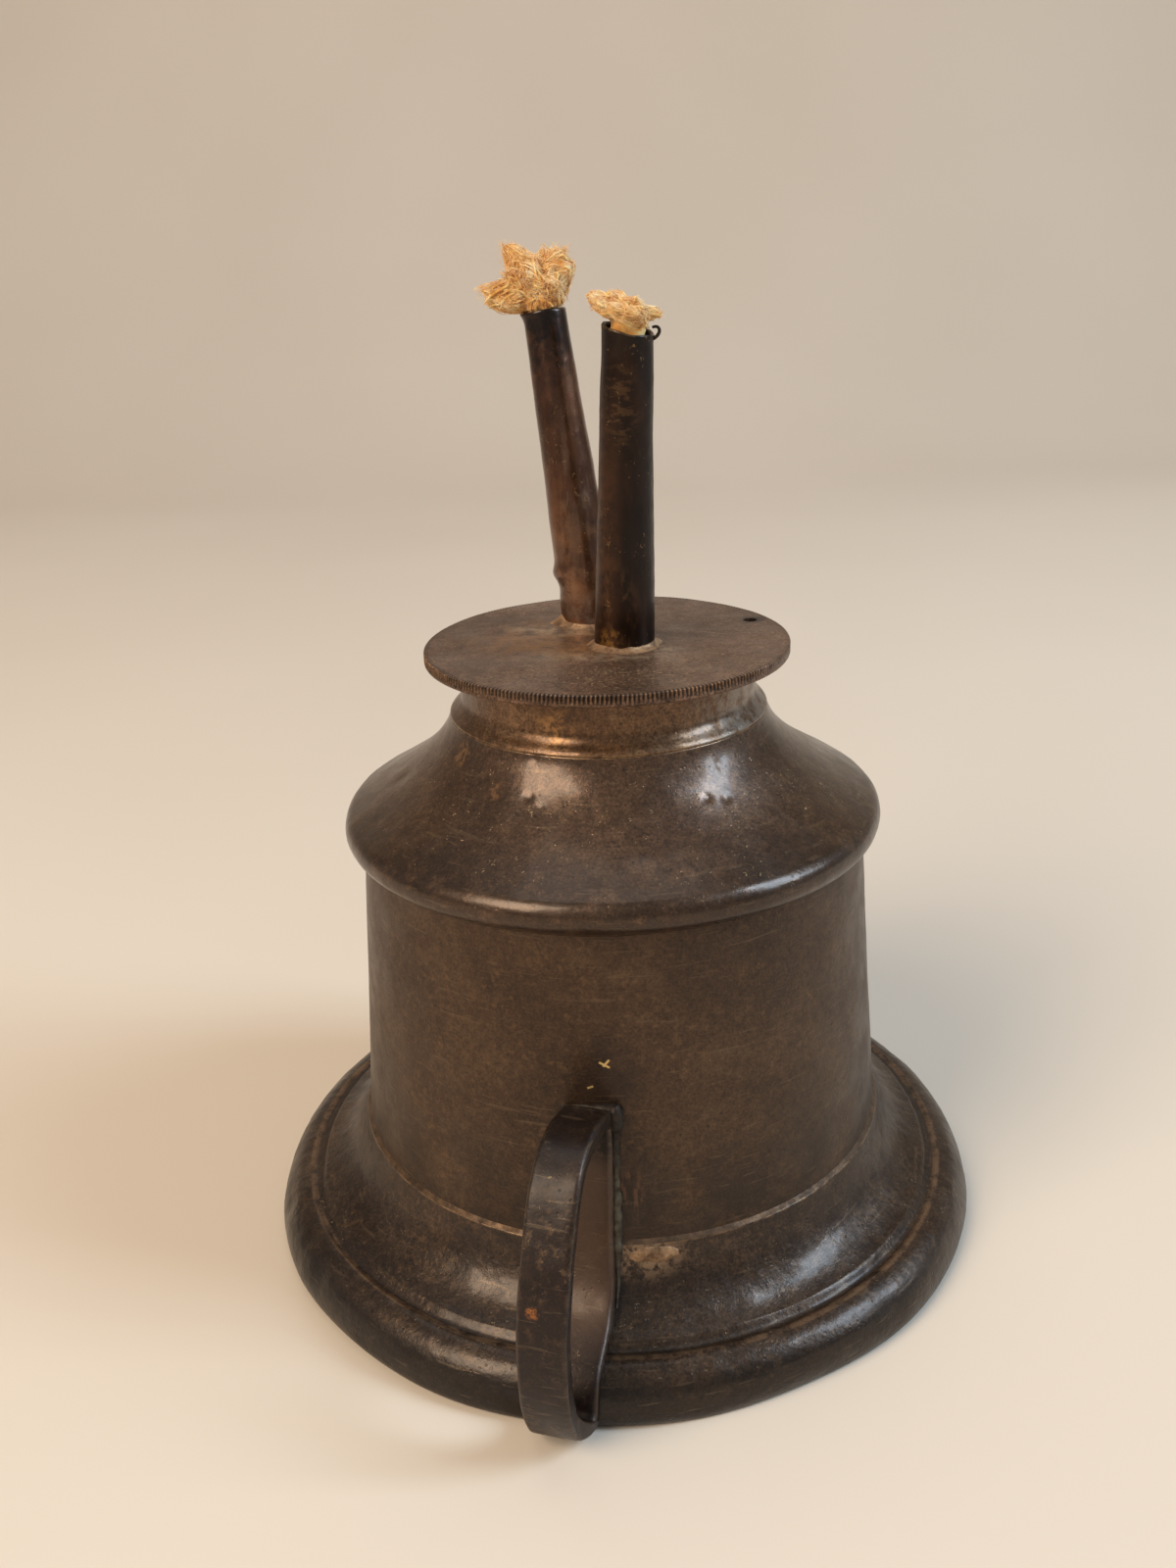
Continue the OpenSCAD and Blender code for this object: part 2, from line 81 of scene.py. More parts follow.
def wall_o(z):
    return WALL_LOW + (WALL_TOP - WALL_LOW) * (z - JOINT_Z) / WALL_H


def wall_i(z):
    return wall_o(z) - WALL_T


RING_R0 = wall_o(RING_TOP) - 0.34
RING_AT = RING_R0 * direction(RING_AT_DIR)
RING_FAR = FOOT_R - RING_R0 + RING_OUT


# ---------------------------------------------------------------- outlines
def oval(c, r, a0, a1, n):
    a = np.radians(np.linspace(a0, a1, n + 1))
    return np.c_[c[0] + r[0] * np.cos(a), c[1] + r[1] * np.sin(a)]


def arc(c, r, a0, a1, n):
    return oval(c, (r, r), a0, a1, n)


def curve(p, n):
    """A cubic curve through its first and last point."""
    p = np.array(p, float)
    t = np.linspace(0, 1, n + 1)[:, None]
    u = 1 - t
    return u**3 * p[0] + 3 * u * u * t * p[1] + 3 * u * t * t * p[2] + t**3 * p[3]


def skin(p, t):
    """A path moved sideways, to the right of its own direction."""
    d = np.vstack([p[1] - p[0], p[2:] - p[:-2], p[-1] - p[-2]])
    d /= np.linalg.norm(d, axis=1)[:, None]
    return p + t * np.c_[d[:, 1], -d[:, 0]]


def soften(p, r, closed=True, n=4, angle=18):
    """An outline with its corners rounded."""
    out, count = [], len(p)
    for i in range(count):
        if not closed and i in (0, count - 1):
            out.append(p[i])
            continue
        a, b, c = p[i - 1], p[i], p[(i + 1) % count]
        la, lc = np.linalg.norm(a - b), np.linalg.norm(c - b)
        turn = math.degrees(math.acos(np.clip(np.dot(b - a, c - b) / (la * lc), -1, 1)))
        if turn < angle:
            out.append(b)
            continue
        start, end = b + (a - b) / la * min(r, 0.45 * la), b + (c - b) / lc * min(r, 0.45 * lc)
        for t in np.linspace(0, 1, n + 1):
            out.append((1 - t) ** 2 * start + 2 * t * (1 - t) * b + t * t * end)
    return np.array(out)


def refine(p, step, closed=True):
    """The same outline with no side longer than step."""
    out = []
    for a, b in zip(p, np.roll(p, -1, 0) if closed else p[1:]):
        n = max(1, int(math.ceil(np.linalg.norm(b - a) / step)))
        out += [a + (b - a) * i / n for i in range(n)]
    if not closed:
        out.append(p[-1])
    return np.array(out)


def spaced(p, n, closed=False):
    """n points at even distances along a path."""
    q = np.vstack([p, p[:1]]) if closed else p
    s = np.r_[0, np.cumsum(np.linalg.norm(np.diff(q, axis=0), axis=1))]
    t = np.linspace(0, s[-1], n, endpoint=not closed)
    return np.stack([np.interp(t, s, q[:, k]) for k in range(q.shape[1])], 1)


def bending(p, closed=True):
    """How sharply an outline turns at each point, for wear: above 0 where it turns left."""
    a, c = (np.roll(p, 1, 0), np.roll(p, -1, 0)) if closed else (np.vstack([p[:1], p[:-1]]), np.vstack([p[1:], p[-1:]]))
    u, v = p - a, c - p
    turn = np.arctan2(u[:, 0] * v[:, 1] - u[:, 1] * v[:, 0], (u * v).sum(1))
    length = 0.5 * (np.linalg.norm(u, axis=1) + np.linalg.norm(v, axis=1)) + 0.05
    k = turn / length
    for _ in range(3):
        k = 0.5 * k + 0.25 * (np.roll(k, 1) + np.roll(k, -1))
    return k


# ---------------------------------------------------------------- noise and dents
def noise(p, size, seed=0):
    """Smooth noise from -1 to 1, with features of about size."""
    q = np.asarray(p, float) / size + 31.7 * (seed + 1)
    i = np.floor(q).astype(np.int64)
    f = q - i
    f = f * f * (3 - 2 * f)
    out = np.zeros(len(q))
    for corner in range(8):
        d = np.array([corner & 1, corner >> 1 & 1, corner >> 2])
        h = ((i + d) * np.array([73856093, 19349663, 83492791])).sum(1) ^ (seed * 2654435)
        h = ((h ^ (h >> 13)) * 1274126177) & 0x7FFFFFFF
        w = np.prod(np.where(d, f, 1 - f), axis=1)
        out += w * (((h ^ (h >> 15)) & 0xFFFF) / 32767.5 - 1)
    return out


def layers(p, size, seed=0, n=3):
    return sum(noise(p, size / 2**k, seed + k) / 2**k for k in range(n))


def dented(p, normal, dents):
    """Points pushed in along their normals. A dent is a centre, a radius and a depth."""
    for centre, radius, depth in dents:
        d = np.linalg.norm(p - np.array(centre), axis=1) / radius
        p = p - normal * (depth * np.exp(-d * d))[:, None]
    return p


# ---------------------------------------------------------------- meshes
def piece(name, points, faces, body, nodes=(), material=None, sharp=38, wear=None):
    """Makes a mesh object that rides on a body and stands for CAD nodes."""
    mesh = bpy.data.meshes.new(name)
    mesh.from_pydata((np.asarray(points) * MM).tolist(), [], [tuple(map(int, f)) for f in faces])
    mesh.shade_smooth()
    mesh.set_sharp_from_angle(angle=math.radians(sharp))
    if wear is not None:
        mesh.attributes.new("wear", "FLOAT", "POINT").data.foreach_set("value", np.asarray(wear, np.float32))
    obj = bpy.data.objects.new(name, mesh)
    bpy.context.scene.collection.objects.link(obj)
    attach(obj, body)
    if nodes:
        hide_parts(*nodes)
    if material:
        mesh.materials.append(material)
    return obj


def grid_faces(rows, cols, close_rows=True, close_cols=True, first=0):
    i = np.arange(rows if close_rows else rows - 1)
    j = np.arange(cols if close_cols else cols - 1)
    i, j = (a.ravel() for a in np.meshgrid(i, j, indexing="ij"))
    k, m = (i + 1) % rows, (j + 1) % cols
    return (first + np.c_[i * cols + j, i * cols + m, k * cols + m, k * cols + j]).tolist()


def turned(profile, sides):
    """Points, normals and angles of a turned shape. The profile runs with the metal on its left."""
    a = np.linspace(0, 2 * math.pi, sides, endpoint=False)
    d = np.roll(profile, -1, 0) - np.roll(profile, 1, 0)
    d /= np.linalg.norm(d, axis=1)[:, None] + 1e-9
    r, z = profile[:, 0, None], profile[:, 1, None]
    nr, nz = d[:, 1, None], -d[:, 0, None]
    p = np.stack([r * np.cos(a), r * np.sin(a), z + 0 * a], -1).reshape(-1, 3)
    n = np.stack([nr * np.cos(a), nr * np.sin(a), nz + 0 * a], -1).reshape(-1, 3)
    return p, n, np.tile(a, len(profile))


def lathe(name, profile, sides, body, nodes, material, change=None, sharp=38):
    """A turned piece from a closed profile, which change(points, normals, angles) may bend and dent."""
    p, n, a = turned(profile, sides)
    wear = np.repeat(bending(profile), sides)
    if change:
        p = change(p, n, a)
    return piece(name, p, grid_faces(len(profile), sides), body, nodes, material, sharp, wear)


def frames(path):
    """Two sideways directions at each point of a path in space, with no sudden twist."""
    t = np.vstack([path[1] - path[0], path[2:] - path[:-2], path[-1] - path[-2]])
    t /= np.linalg.norm(t, axis=1)[:, None]
    u = np.zeros_like(t)
    side = np.cross(t[0], [0.3, 0.2, 0.93] if abs(t[0][2]) < 0.9 else [1, 0.1, 0])
    for i in range(len(t)):
        side = side - t[i] * (side @ t[i])
        side /= np.linalg.norm(side)
        u[i] = side
    return u, np.cross(t, u)


def sweep(path, radius, sides):
    """Points and faces of a closed tube along a path, with a radius at each point."""
    u, v = frames(path)
    a = np.linspace(0, 2 * math.pi, sides, endpoint=False)
    r = np.broadcast_to(radius, len(path))[:, None, None]
    ring = u[:, None] * np.cos(a)[None, :, None] + v[:, None] * np.sin(a)[None, :, None]
    p = (path[:, None] + r * ring).reshape(-1, 3)
    faces = grid_faces(len(path), sides, close_rows=False)
    low, high, last = len(p), len(p) + 1, (len(path) - 1) * sides
    p = np.vstack([p, path[0], path[-1]])
    for j in range(sides):
        k = (j + 1) % sides
        faces += [[k, j, low], [last + j, last + k, high]]
    return p, faces


class Parts:
    """Several closed shapes gathered into one mesh."""

    def __init__(self):
        self.points, self.faces, self.count = [], [], 0

    def add(self, points, faces):
        self.points.append(points)
        self.faces += [[self.count + i for i in f] for f in faces]
        self.count += len(points)

    def all_points(self):
        return np.vstack(self.points)


# ---------------------------------------------------------------- materials
def linear(r, g, b):
    """A colour given as 0-255 display values, as linear light."""
    return tuple(c / 12.92 if c <= 0.04045 else ((c + 0.055) / 1.055) ** 2.4 for c in (r / 255, g / 255, b / 255))


class Paint:
    """One node material. Sizes are in millimetres in the lamp's frame."""

    def __init__(self, name):
        self.material = bpy.data.materials.new(name)
        self.material.use_nodes = True
        self.tree = self.material.node_tree
        self.tree.nodes.clear()
        self.shader = self.node("ShaderNodeBsdfPrincipled")
        out = self.node("ShaderNodeOutputMaterial")
        self.tree.links.new(self.shader.outputs[0], out.inputs["Surface"])
        self.place = self.node("ShaderNodeTexCoord").outputs["Object"]
        split = self.node("ShaderNodeSeparateXYZ", Vector=self.place)
        self.x, self.y, self.z = split.outputs

    def node(self, kind, **values):
        n = self.tree.nodes.new(kind)
        for key, value in values.items():
            self.put(n.inputs[key.replace("_", " ")], value)
        return n

    def put(self, socket, value):
        if isinstance(value, bpy.types.NodeSocket):
            self.tree.links.new(value, socket)
        elif socket.type == "RGBA" and len(value) == 3:
            socket.default_value = (*value, 1)
        else:
            socket.default_value = value

    def set(self, **values):
        for key, value in values.items():
            self.put(self.shader.inputs[key.replace("_", " ")], value)

    def calc(self, operation, a, b=0.0, clamp=False):
        n = self.tree.nodes.new("ShaderNodeMath")
        n.operation, n.use_clamp = operation, clamp
        self.put(n.inputs[0], a)
        self.put(n.inputs[1], b)
        return n.outputs[0]

    def stretched(self, x=1.0, y=1.0, z=1.0, turn=0.0):
        """The lamp's frame with its axes scaled, for grain that runs one way."""
        n = self.tree.nodes.new("ShaderNodeMapping")
        self.put(n.inputs["Vector"], self.place)
        n.inputs["Scale"].default_value = (x, y, z)
        n.inputs["Rotation"].default_value = (0, 0, math.radians(turn))
        return n.outputs[0]

    def round_place(self, around=0.0):
        """Radius and height as a place, for marks that a lathe leaves."""
        r = self.calc("SQRT", self.calc("ADD", self.calc("MULTIPLY", self.x, self.x), self.calc("MULTIPLY", self.y, self.y)))
        turn = self.calc("MULTIPLY", self.calc("ARCTAN2", self.y, self.x), around * MM)
        return self.node("ShaderNodeCombineXYZ", X=r, Y=turn, Z=self.z).outputs[0]

    def noise(self, size, detail=4, rough=0.55, place=None, distortion=0.0):
        n = self.node("ShaderNodeTexNoise", Vector=place or self.place, Scale=1 / (size * MM), Detail=detail,
                      Roughness=rough, Distortion=distortion)
        return n.outputs["Fac"]

    def cells(self, size, jitter=1.0, place=None, feature="F1"):
        n = self.tree.nodes.new("ShaderNodeTexVoronoi")
        n.feature = feature
        self.put(n.inputs["Vector"], place or self.place)
        n.inputs["Scale"].default_value = 1 / (size * MM)
        n.inputs["Randomness"].default_value = jitter
        return n.outputs["Distance"]

    def spread(self, value, low, high, to_low=0.0, to_high=1.0):
        """A value between two limits, spread smoothly over another range."""
        n = self.tree.nodes.new("ShaderNodeMapRange")
        n.interpolation_type = "SMOOTHSTEP"
        for socket, v in zip(n.inputs, (value, low, high, to_low, to_high)):
            self.put(socket, v)
        return n.outputs["Result"]

    def ramp(self, value, *stops):
        n = self.node("ShaderNodeValToRGB", Fac=value)
        e = n.color_ramp.elements
        while len(e) < len(stops):
            e.new(0.5)
        for element, (at, colour) in zip(e, stops):
            element.position, element.color = at, (*colour, 1)
        return n.outputs["Color"]

    def mix(self, factor, a, b, kind="MIX"):
        n = self.tree.nodes.new("ShaderNodeMix")
        n.data_type, n.blend_type = "RGBA", kind
        self.put(n.inputs["Factor"], factor)
        self.put(n.inputs[6], a)
        self.put(n.inputs[7], b)
        return n.outputs[2]

    def near(self, centre, radius, soft=1.0, scale=(1, 1, 1)):
        """1 at a place, falling to 0 at a radius from it."""
        c = self.node("ShaderNodeVectorMath", Vector=self.place)
        c.operation = "SUBTRACT"
        c.inputs[1].default_value = Vector(centre) * MM
        s = self.tree.nodes.new("ShaderNodeVectorMath")
        s.operation = "MULTIPLY"
        self.tree.links.new(c.outputs[0], s.inputs[0])
        s.inputs[1].default_value = scale
        n = self.tree.nodes.new("ShaderNodeVectorMath")
        n.operation = "LENGTH"
        self.tree.links.new(s.outputs[0], n.inputs[0])
        return self.spread(n.outputs["Value"], radius * MM, radius * MM * (1 - soft), 0.0, 1.0)

    def wear(self):
        n = self.tree.nodes.new("ShaderNodeAttribute")
        n.attribute_name = "wear"
        return n.outputs["Fac"]

    def up(self):
        """How far the surface faces up."""
        n = self.tree.nodes.new("ShaderNodeNewGeometry")
        return self.node("ShaderNodeSeparateXYZ", Vector=n.outputs["Normal"]).outputs[2]

    def bump(self, *heights):
        """Bumps laid over each other, each as height, depth in millimetres and strength."""
        normal = None
        for height, depth, strength in heights:
            n = self.node("ShaderNodeBump", Height=height, Distance=depth * MM, Strength=strength)
            if normal:
                self.tree.links.new(normal, n.inputs["Normal"])
            normal = n.outputs[0]
        self.tree.links.new(normal, self.shader.inputs["Normal"])


def add(p, colour, factor, amount, over):
    """Lays a colour over another where a mask says."""
    return p.mix(p.calc("MULTIPLY", factor, amount), colour, over)


def pewter(name, dark, mid, pale, metal=0.55, rough=(0.3, 0.45), pits=1.0, dust=0.5, shine=0.2, turning=0.5, hammer=0.5,
           rubbed=0.6, grimy=0.7, grainy=0.55, marks=()):
    """Old oxidised pewter: cloudy brown skin, pits, hammering, lathe marks, handling scratches, dust on
    what faces up and pale metal where edges are rubbed. Marks are colour, mask function and amount."""
    p = Paint(name)
    cloud = p.noise(14, 7, 0.62, distortion=0.5)
    fine = p.noise(1.1, 6, 0.75)
    tone = p.calc("ADD", p.calc("MULTIPLY", cloud, 0.5), p.calc("MULTIPLY", fine, 0.5))
    colour = p.ramp(tone, (0.34, dark), (0.5, mid), (0.68, pale))
    grain = p.noise(0.3, 3, 0.6)
    colour = p.mix(grainy, colour, p.ramp(grain, (0.34, (0.12, 0.12, 0.12)), (0.66, (0.9, 0.9, 0.9))), "OVERLAY")
    mottle = p.calc("MULTIPLY", p.spread(p.noise(0.8, 4, 0.7), 0.5, 0.68), p.spread(p.noise(8, 4, 0.6), 0.42, 0.62))
    colour = add(p, colour, mottle, 0.35, linear(122, 92, 62))
    worn = p.calc("MULTIPLY", p.spread(p.wear(), 0.45, 2.2), p.spread(p.noise(2.4, 5, 0.7), 0.36, 0.62))
    colour = add(p, colour, worn, rubbed, linear(150, 118, 84))
    grime = p.spread(p.wear(), -0.3, -1.8)
    colour = add(p, colour, grime, grimy, linear(24, 17, 12))
    spots = p.calc("MULTIPLY", p.spread(p.noise(0.42, 2, 0.5, distortion=1.2), 0.68, 0.74), p.spread(p.noise(5, 3), 0.42, 0.6))
    specks = p.calc("MULTIPLY", spots, p.spread(p.up(), 0.1, 0.8, 0.2, 1.0))
    colour = add(p, colour, specks, dust, linear(190, 160, 118))
    black = p.calc("MULTIPLY", p.spread(p.cells(1.7), 0.17, 0.08), p.spread(p.noise(7, 3), 0.46, 0.6))
    colour = add(p, colour, black, 0.6, linear(20, 14, 10))
    film = p.calc("MULTIPLY", p.spread(p.noise(4, 6, 0.7), 0.42, 0.72), p.spread(p.up(), 0.2, 0.95))
    colour = add(p, colour, film, 0.12 * dust, linear(140, 112, 80))
    for over, mask, amount in marks:
        colour = add(p, colour, mask(p), amount, over)
    scratch = p.spread(p.noise(0.7, 3, 0.5, place=p.stretched(0.12, 0.12, 1.6, 30), distortion=0.4), 0.62, 0.7)
    colour = add(p, colour, scratch, 0.18, linear(132, 108, 82))
    roughness = p.calc("ADD", p.spread(p.noise(5, 6, 0.65), 0.3, 0.7, *rough), p.calc("MULTIPLY", specks, 0.3))
    roughness = p.calc("ADD", roughness, p.calc("MULTIPLY", grime, 0.25), clamp=True)
    p.set(Base_Color=colour, Metallic=metal, Roughness=roughness, Coat_Weight=shine, Coat_Roughness=0.16)
    rings = p.noise(0.3, 3, 0.6, place=p.round_place(0.4))
    pit = p.calc("MULTIPLY", p.spread(p.cells(0.7), 0.3, 0.05), p.spread(p.noise(4, 4, 0.7), 0.45, 0.65))
    p.bump((p.noise(2.4, 4, 0.6), 0.06, 0.4), (p.noise(0.9, 3, 0.55), 0.06, hammer), (rings, 0.012, turning),
           (scratch, 0.012, 0.5), (pit, -0.06, pits), (p.noise(0.2, 3, 0.6), 0.02, 0.5))
    return p


def patch(centre, radius, soft=0.8, scale=(1, 1, 1), size=1.0, low=0.42, high=0.6):
    """A mask for a mark, a stain at most places and painted light at a few: strong near a place and broken up by noise
    of some size.
    """
    return lambda p: p.calc("MULTIPLY", p.near(centre, radius, soft, scale), p.spread(p.noise(size, 5, 0.65), low, high))


def splinter(centre, half, turn):
    """A mask for a short splinter of something pale stuck to the front, lying at a slant."""
    c, s = direction(turn)

    def mask(p):
        x, z = p.calc("SUBTRACT", p.x, centre[0] * MM), p.calc("SUBTRACT", p.z, centre[2] * MM)
        along = p.calc("ADD", p.calc("MULTIPLY", x, c), p.calc("MULTIPLY", z, s))
        across = p.calc("SUBTRACT", p.calc("MULTIPLY", z, c), p.calc("MULTIPLY", x, s))
        near = p.calc("MULTIPLY", p.spread(p.calc("ABSOLUTE", along), half * MM, 0.7 * half * MM),
                      p.spread(p.calc("ABSOLUTE", across), 0.17 * MM, 0.08 * MM))
        return p.calc("MULTIPLY", near, p.spread(p.y, -20 * MM, -25 * MM))
    return mask


SMEAR, SPLINTER = linear(152, 122, 94), linear(212, 180, 118)


def lip_band(p):
    """A mask for the lip along the top of the foot's edge, where the brown skin is rubbed."""
    r = p.calc("SQRT", p.calc("ADD", p.calc("MULTIPLY", p.x, p.x), p.calc("MULTIPLY", p.y, p.y)))
    off = p.calc("ABSOLUTE", p.calc("SUBTRACT", r, (FOOT_R - EDGE_W + 0.1) * MM))
    return p.calc("MULTIPLY", p.spread(off, 0.55 * MM, 0.25 * MM), p.spread(p.z, 5 * MM, 6 * MM))


foot_skin = pewter("foot_pewter", linear(30, 22, 17), linear(51, 38, 29), linear(78, 60, 45), rough=(0.3, 0.46), shine=0.18,
                   hammer=1.3, dust=0.4, marks=[
    (SMEAR, patch((1.6, -34.0, 13.2), 4.2, 0.7, (0.6, 0.6, 1.3), 1.2, 0.4, 0.56), 0.7),
    (linear(30, 26, 24), patch((-1.0, -36.5, 9.5), 4.5, 0.9, (1, 1, 1), 3, 0.3, 0.5), 0.5),
    # painted shade: the edge below the groove darkened, standing in for the dark reflection it shows
    (linear(24, 20, 17), lambda p: p.spread(p.z, 5.8 * MM, 4.4 * MM), 0.6),
    (linear(124, 96, 72), lambda p: p.calc("MULTIPLY", lip_band(p), p.spread(p.noise(2.2, 5, 0.7), 0.36, 0.6)), 0.6)]).material
wall_skin = pewter("wall_pewter", linear(46, 33, 23), linear(68, 49, 34), linear(90, 69, 49), rough=(0.38, 0.54), pits=0.5,
                   shine=0.08, hammer=0.25, grainy=0.4, marks=[
    (linear(140, 98, 74), lambda p: p.calc("MULTIPLY", p.near((0.6, -32.7, 20.5), 5.0, 0.7, (2.2, 1, 1)), p.spread(
        p.noise(0.9, 4, 0.65, place=p.stretched(1.4, 1, 0.35)), 0.46, 0.58)), 0.7),
    (linear(34, 24, 20), patch((-1.2, -31.6, 35), 5, 0.9, (1, 1, 0.5), 2.5, 0.35, 0.55), 0.5),
    (linear(42, 36, 31), lambda p: p.calc("MULTIPLY", p.spread(p.z, 32 * MM, 17 * MM), p.spread(p.noise(6, 5, 0.6), 0.3, 0.6)),
     0.6),
    (SPLINTER, splinter((-1.7, -31.5, 36.9), 0.75, -30), 0.9), (SPLINTER, splinter((-1.5, -31.5, 37.1), 0.6, 50), 0.9),
    (SPLINTER, splinter((-3.3, -31.5, 34.2), 0.4, 20), 0.8)]).material
shoulder_skin = pewter("shoulder_pewter", linear(48, 33, 23), linear(74, 53, 38), linear(102, 76, 56), rough=(0.26, 0.4),
                       pits=0.8, shine=0.3, hammer=0.5, dust=1.0, marks=[
    (linear(150, 110, 70), patch((-16.8, -10.6, 65.2), 1.9, 0.5, size=0.7), 0.6),
    (linear(150, 110, 70), patch((-12.8, -17.2, 63.1), 1.5, 0.5, size=0.7), 0.5),
    # darker towards the roll: grime, and painted shade standing in for the dark reflection along the roll's top
    (linear(36, 26, 18), lambda p: p.calc("MULTIPLY", p.spread(p.z, 61 * MM, 56 * MM), p.spread(p.noise(3, 4, 0.6), 0.3, 0.55)),
     0.55)]).material


def streak(a, b, width, size=1.4):
    """A mask for a thin dried line from a to b, wavy and broken."""
    a, b = np.array(a, float), np.array(b, float)
    middle, along = (a + b) / 2, (b - a) / np.linalg.norm(b - a)

    def mask(p):
        wave = p.calc("MULTIPLY", p.calc("SUBTRACT", p.noise(2.5, 3, 0.6), 0.5), 2.2 * MM)
        x, y = p.calc("SUBTRACT", p.x, middle[0] * MM), p.calc("SUBTRACT", p.y, middle[1] * MM)
        s = p.calc("ADD", p.calc("MULTIPLY", x, along[0]), p.calc("MULTIPLY", y, along[1]))
        t = p.calc("ADD", p.calc("SUBTRACT", p.calc("MULTIPLY", y, along[0]), p.calc("MULTIPLY", x, along[1])), wave)
        half = np.linalg.norm(b - a) / 2 * MM
        near = p.calc("MULTIPLY", p.spread(p.calc("ABSOLUTE", s), 1.1 * half, 0.3 * half),
                      p.spread(p.calc("ABSOLUTE", t), width * MM, 0))
        return p.calc("MULTIPLY", near, p.spread(p.noise(size, 5, 0.7), 0.4, 0.58))
    return mask


disc_skin = pewter("disc_pewter", linear(54, 39, 30), linear(91, 67, 52), linear(130, 101, 80), rough=(0.36, 0.54), pits=0.9,
                   shine=0.05, hammer=0.3, dust=0.8, grainy=0.85, marks=[
    (linear(138, 98, 58), patch((-6.0, 1.0, TOP_Z), 10.5, 0.7, (0.9, 1, 1), 2.0, 0.36, 0.56), 0.75),
    (linear(158, 124, 84), patch((-4.0, -4.5, TOP_Z), 5.0, 0.8, (1, 1, 1), 1.2), 0.45),
    (linear(166, 144, 118), streak((-13, 7.6), (-0.5, 2.2), 3.4, 2.0), 0.6),
    (linear(160, 140, 114), streak((-8.6, -6.2), (9.0, -8.6), 2.4, 1.6), 0.6),
    (linear(158, 136, 116), streak((6.4, 4.6), (16.4, -0.2), 0.16, 0.5), 0.8),
    (linear(150, 134, 112), patch((6.8, -5.2, TOP_Z), 2.6, 0.6, size=0.9), 0.6),
    (linear(184, 158, 116), lambda p: p.calc("MULTIPLY", p.near((1.0, -15.0, TOP_Z), 9.5, 0.7, (0.8, 1.4, 1)),
                                             p.spread(p.noise(0.5, 3, 0.7), 0.54, 0.68)), 0.6),
    (linear(34, 28, 28), patch((18.0, 7.0, TOP_Z), 2.0, 0.5, size=0.8, low=0.25, high=0.45), 0.75)]).material
ring_skin = pewter("ring_pewter", linear(21, 12, 8), linear(32, 18, 12), linear(48, 31, 22), metal=0.35, rough=(0.38, 0.52), pits=0.9,
                   shine=0.08, turning=0.0, hammer=0.5, rubbed=0.2, marks=[
    # painted light: the rear strap's face lightened, where the right lamp lights it
    (linear(82, 61, 47), lambda p: p.calc("MULTIPLY", p.spread(p.y, -44.5 * MM, -42 * MM), p.calc(
        "MULTIPLY", p.spread(p.z, 28 * MM, 25 * MM), p.spread(p.z, 6 * MM, 9 * MM))), 0.7),
    (linear(150, 92, 44), patch((-9.5, -49.9, 20.5), 0.9, 0.5, size=0.5), 0.8)]).material
collar_skin = pewter("collar_pewter", linear(58, 41, 28), linear(94, 68, 47), linear(134, 104, 76), metal=0.75,
                     rough=(0.28, 0.44), pits=0.5, dust=0.3, turning=1.0, hammer=0.4, grimy=0.3, marks=[
    (linear(168, 124, 76), patch((-6.0, -16.4, 70.0), 3.2, 0.8, (1, 1, 1), 1.3), 0.6),
    # painted light: the collar's right side lighter and greyer, where the right lamp lights it
    (linear(142, 134, 124), lambda p: p.calc("MULTIPLY", p.spread(p.x, 7 * MM, 15 * MM), p.spread(
        p.noise(1.6, 5, 0.65), 0.38, 0.6)), 0.6)]).material
inner_skin = pewter("inner_pewter", linear(90, 78, 66), linear(122, 110, 96), linear(150, 140, 126), metal=0.7,
                    rough=(0.4, 0.6), pits=0.6, dust=0.3, turning=0.8).material


def patina(name, dark, mid, pale, bands, rough, grain=0.12, gloss=0.25, marks=()):
    """Dark tube metal with soot, heat colours and long streaks. Bands are a colour, the heights that it
    fades in and out between, an amount and the size of its spots."""
    p = Paint(name)
    cloud = p.noise(5, 6, 0.65, place=p.stretched(1, 1, 0.35))
    colour = p.ramp(cloud, (0.3, dark), (0.54, mid), (0.85, pale))
    streaks = p.spread(p.noise(1.0, 6, 0.65, place=p.stretched(1, 1, grain)), 0.52, 0.7)
    colour = add(p, colour, streaks, 0.3, pale)
    for over, from_z, full_z, amount, size in bands:
        band = p.calc("MULTIPLY", p.spread(p.z, from_z * MM, full_z * MM), p.spread(p.noise(size, 6, 0.7), 0.4, 0.6))
        colour = add(p, colour, band, amount, over)
    for over, mask, amount in marks:
        colour = add(p, colour, mask(p), amount, over)
    spots = p.calc("MULTIPLY", p.spread(p.noise(0.4, 2, 0.5, distortion=1), 0.66, 0.72), p.spread(p.noise(4, 4), 0.45, 0.6))
    colour = add(p, colour, spots, 0.6, linear(150, 120, 76))
    worn = p.calc("MULTIPLY", p.spread(p.wear(), 1.0, 3.0), p.spread(p.noise(1.5, 4), 0.4, 0.6))
    colour = add(p, colour, worn, 0.4, linear(130, 104, 72))
    p.set(Base_Color=colour, Metallic=0.7, Roughness=p.spread(p.noise(2.5, 5, 0.6), 0.3, 0.7, *rough),
          Coat_Weight=gloss, Coat_Roughness=0.15)
    p.bump((p.noise(1.8, 5, 0.65), 0.06, 0.6), (p.noise(0.5, 4, 0.6, place=p.stretched(1, 1, 0.3)), 0.03, 0.7),
           (spots, 0.03, 0.6))
    return p.material


SOOT, STEEL = linear(22, 19, 18), linear(56, 56, 60)
TAN = linear(96, 70, 45)


def scrape_and_sheen(centre, radius, scale, across):
    """A mask for short marks that run across a tube (or up it, where across is small): scrapes, and also a painted
    highlight stripe.
    """
    return lambda p: p.calc("MULTIPLY", p.near(centre, radius, 0.7, scale), p.spread(
        p.noise(0.8, 5, 0.65, place=p.stretched(0.5, 0.5, across)), 0.48, 0.58))


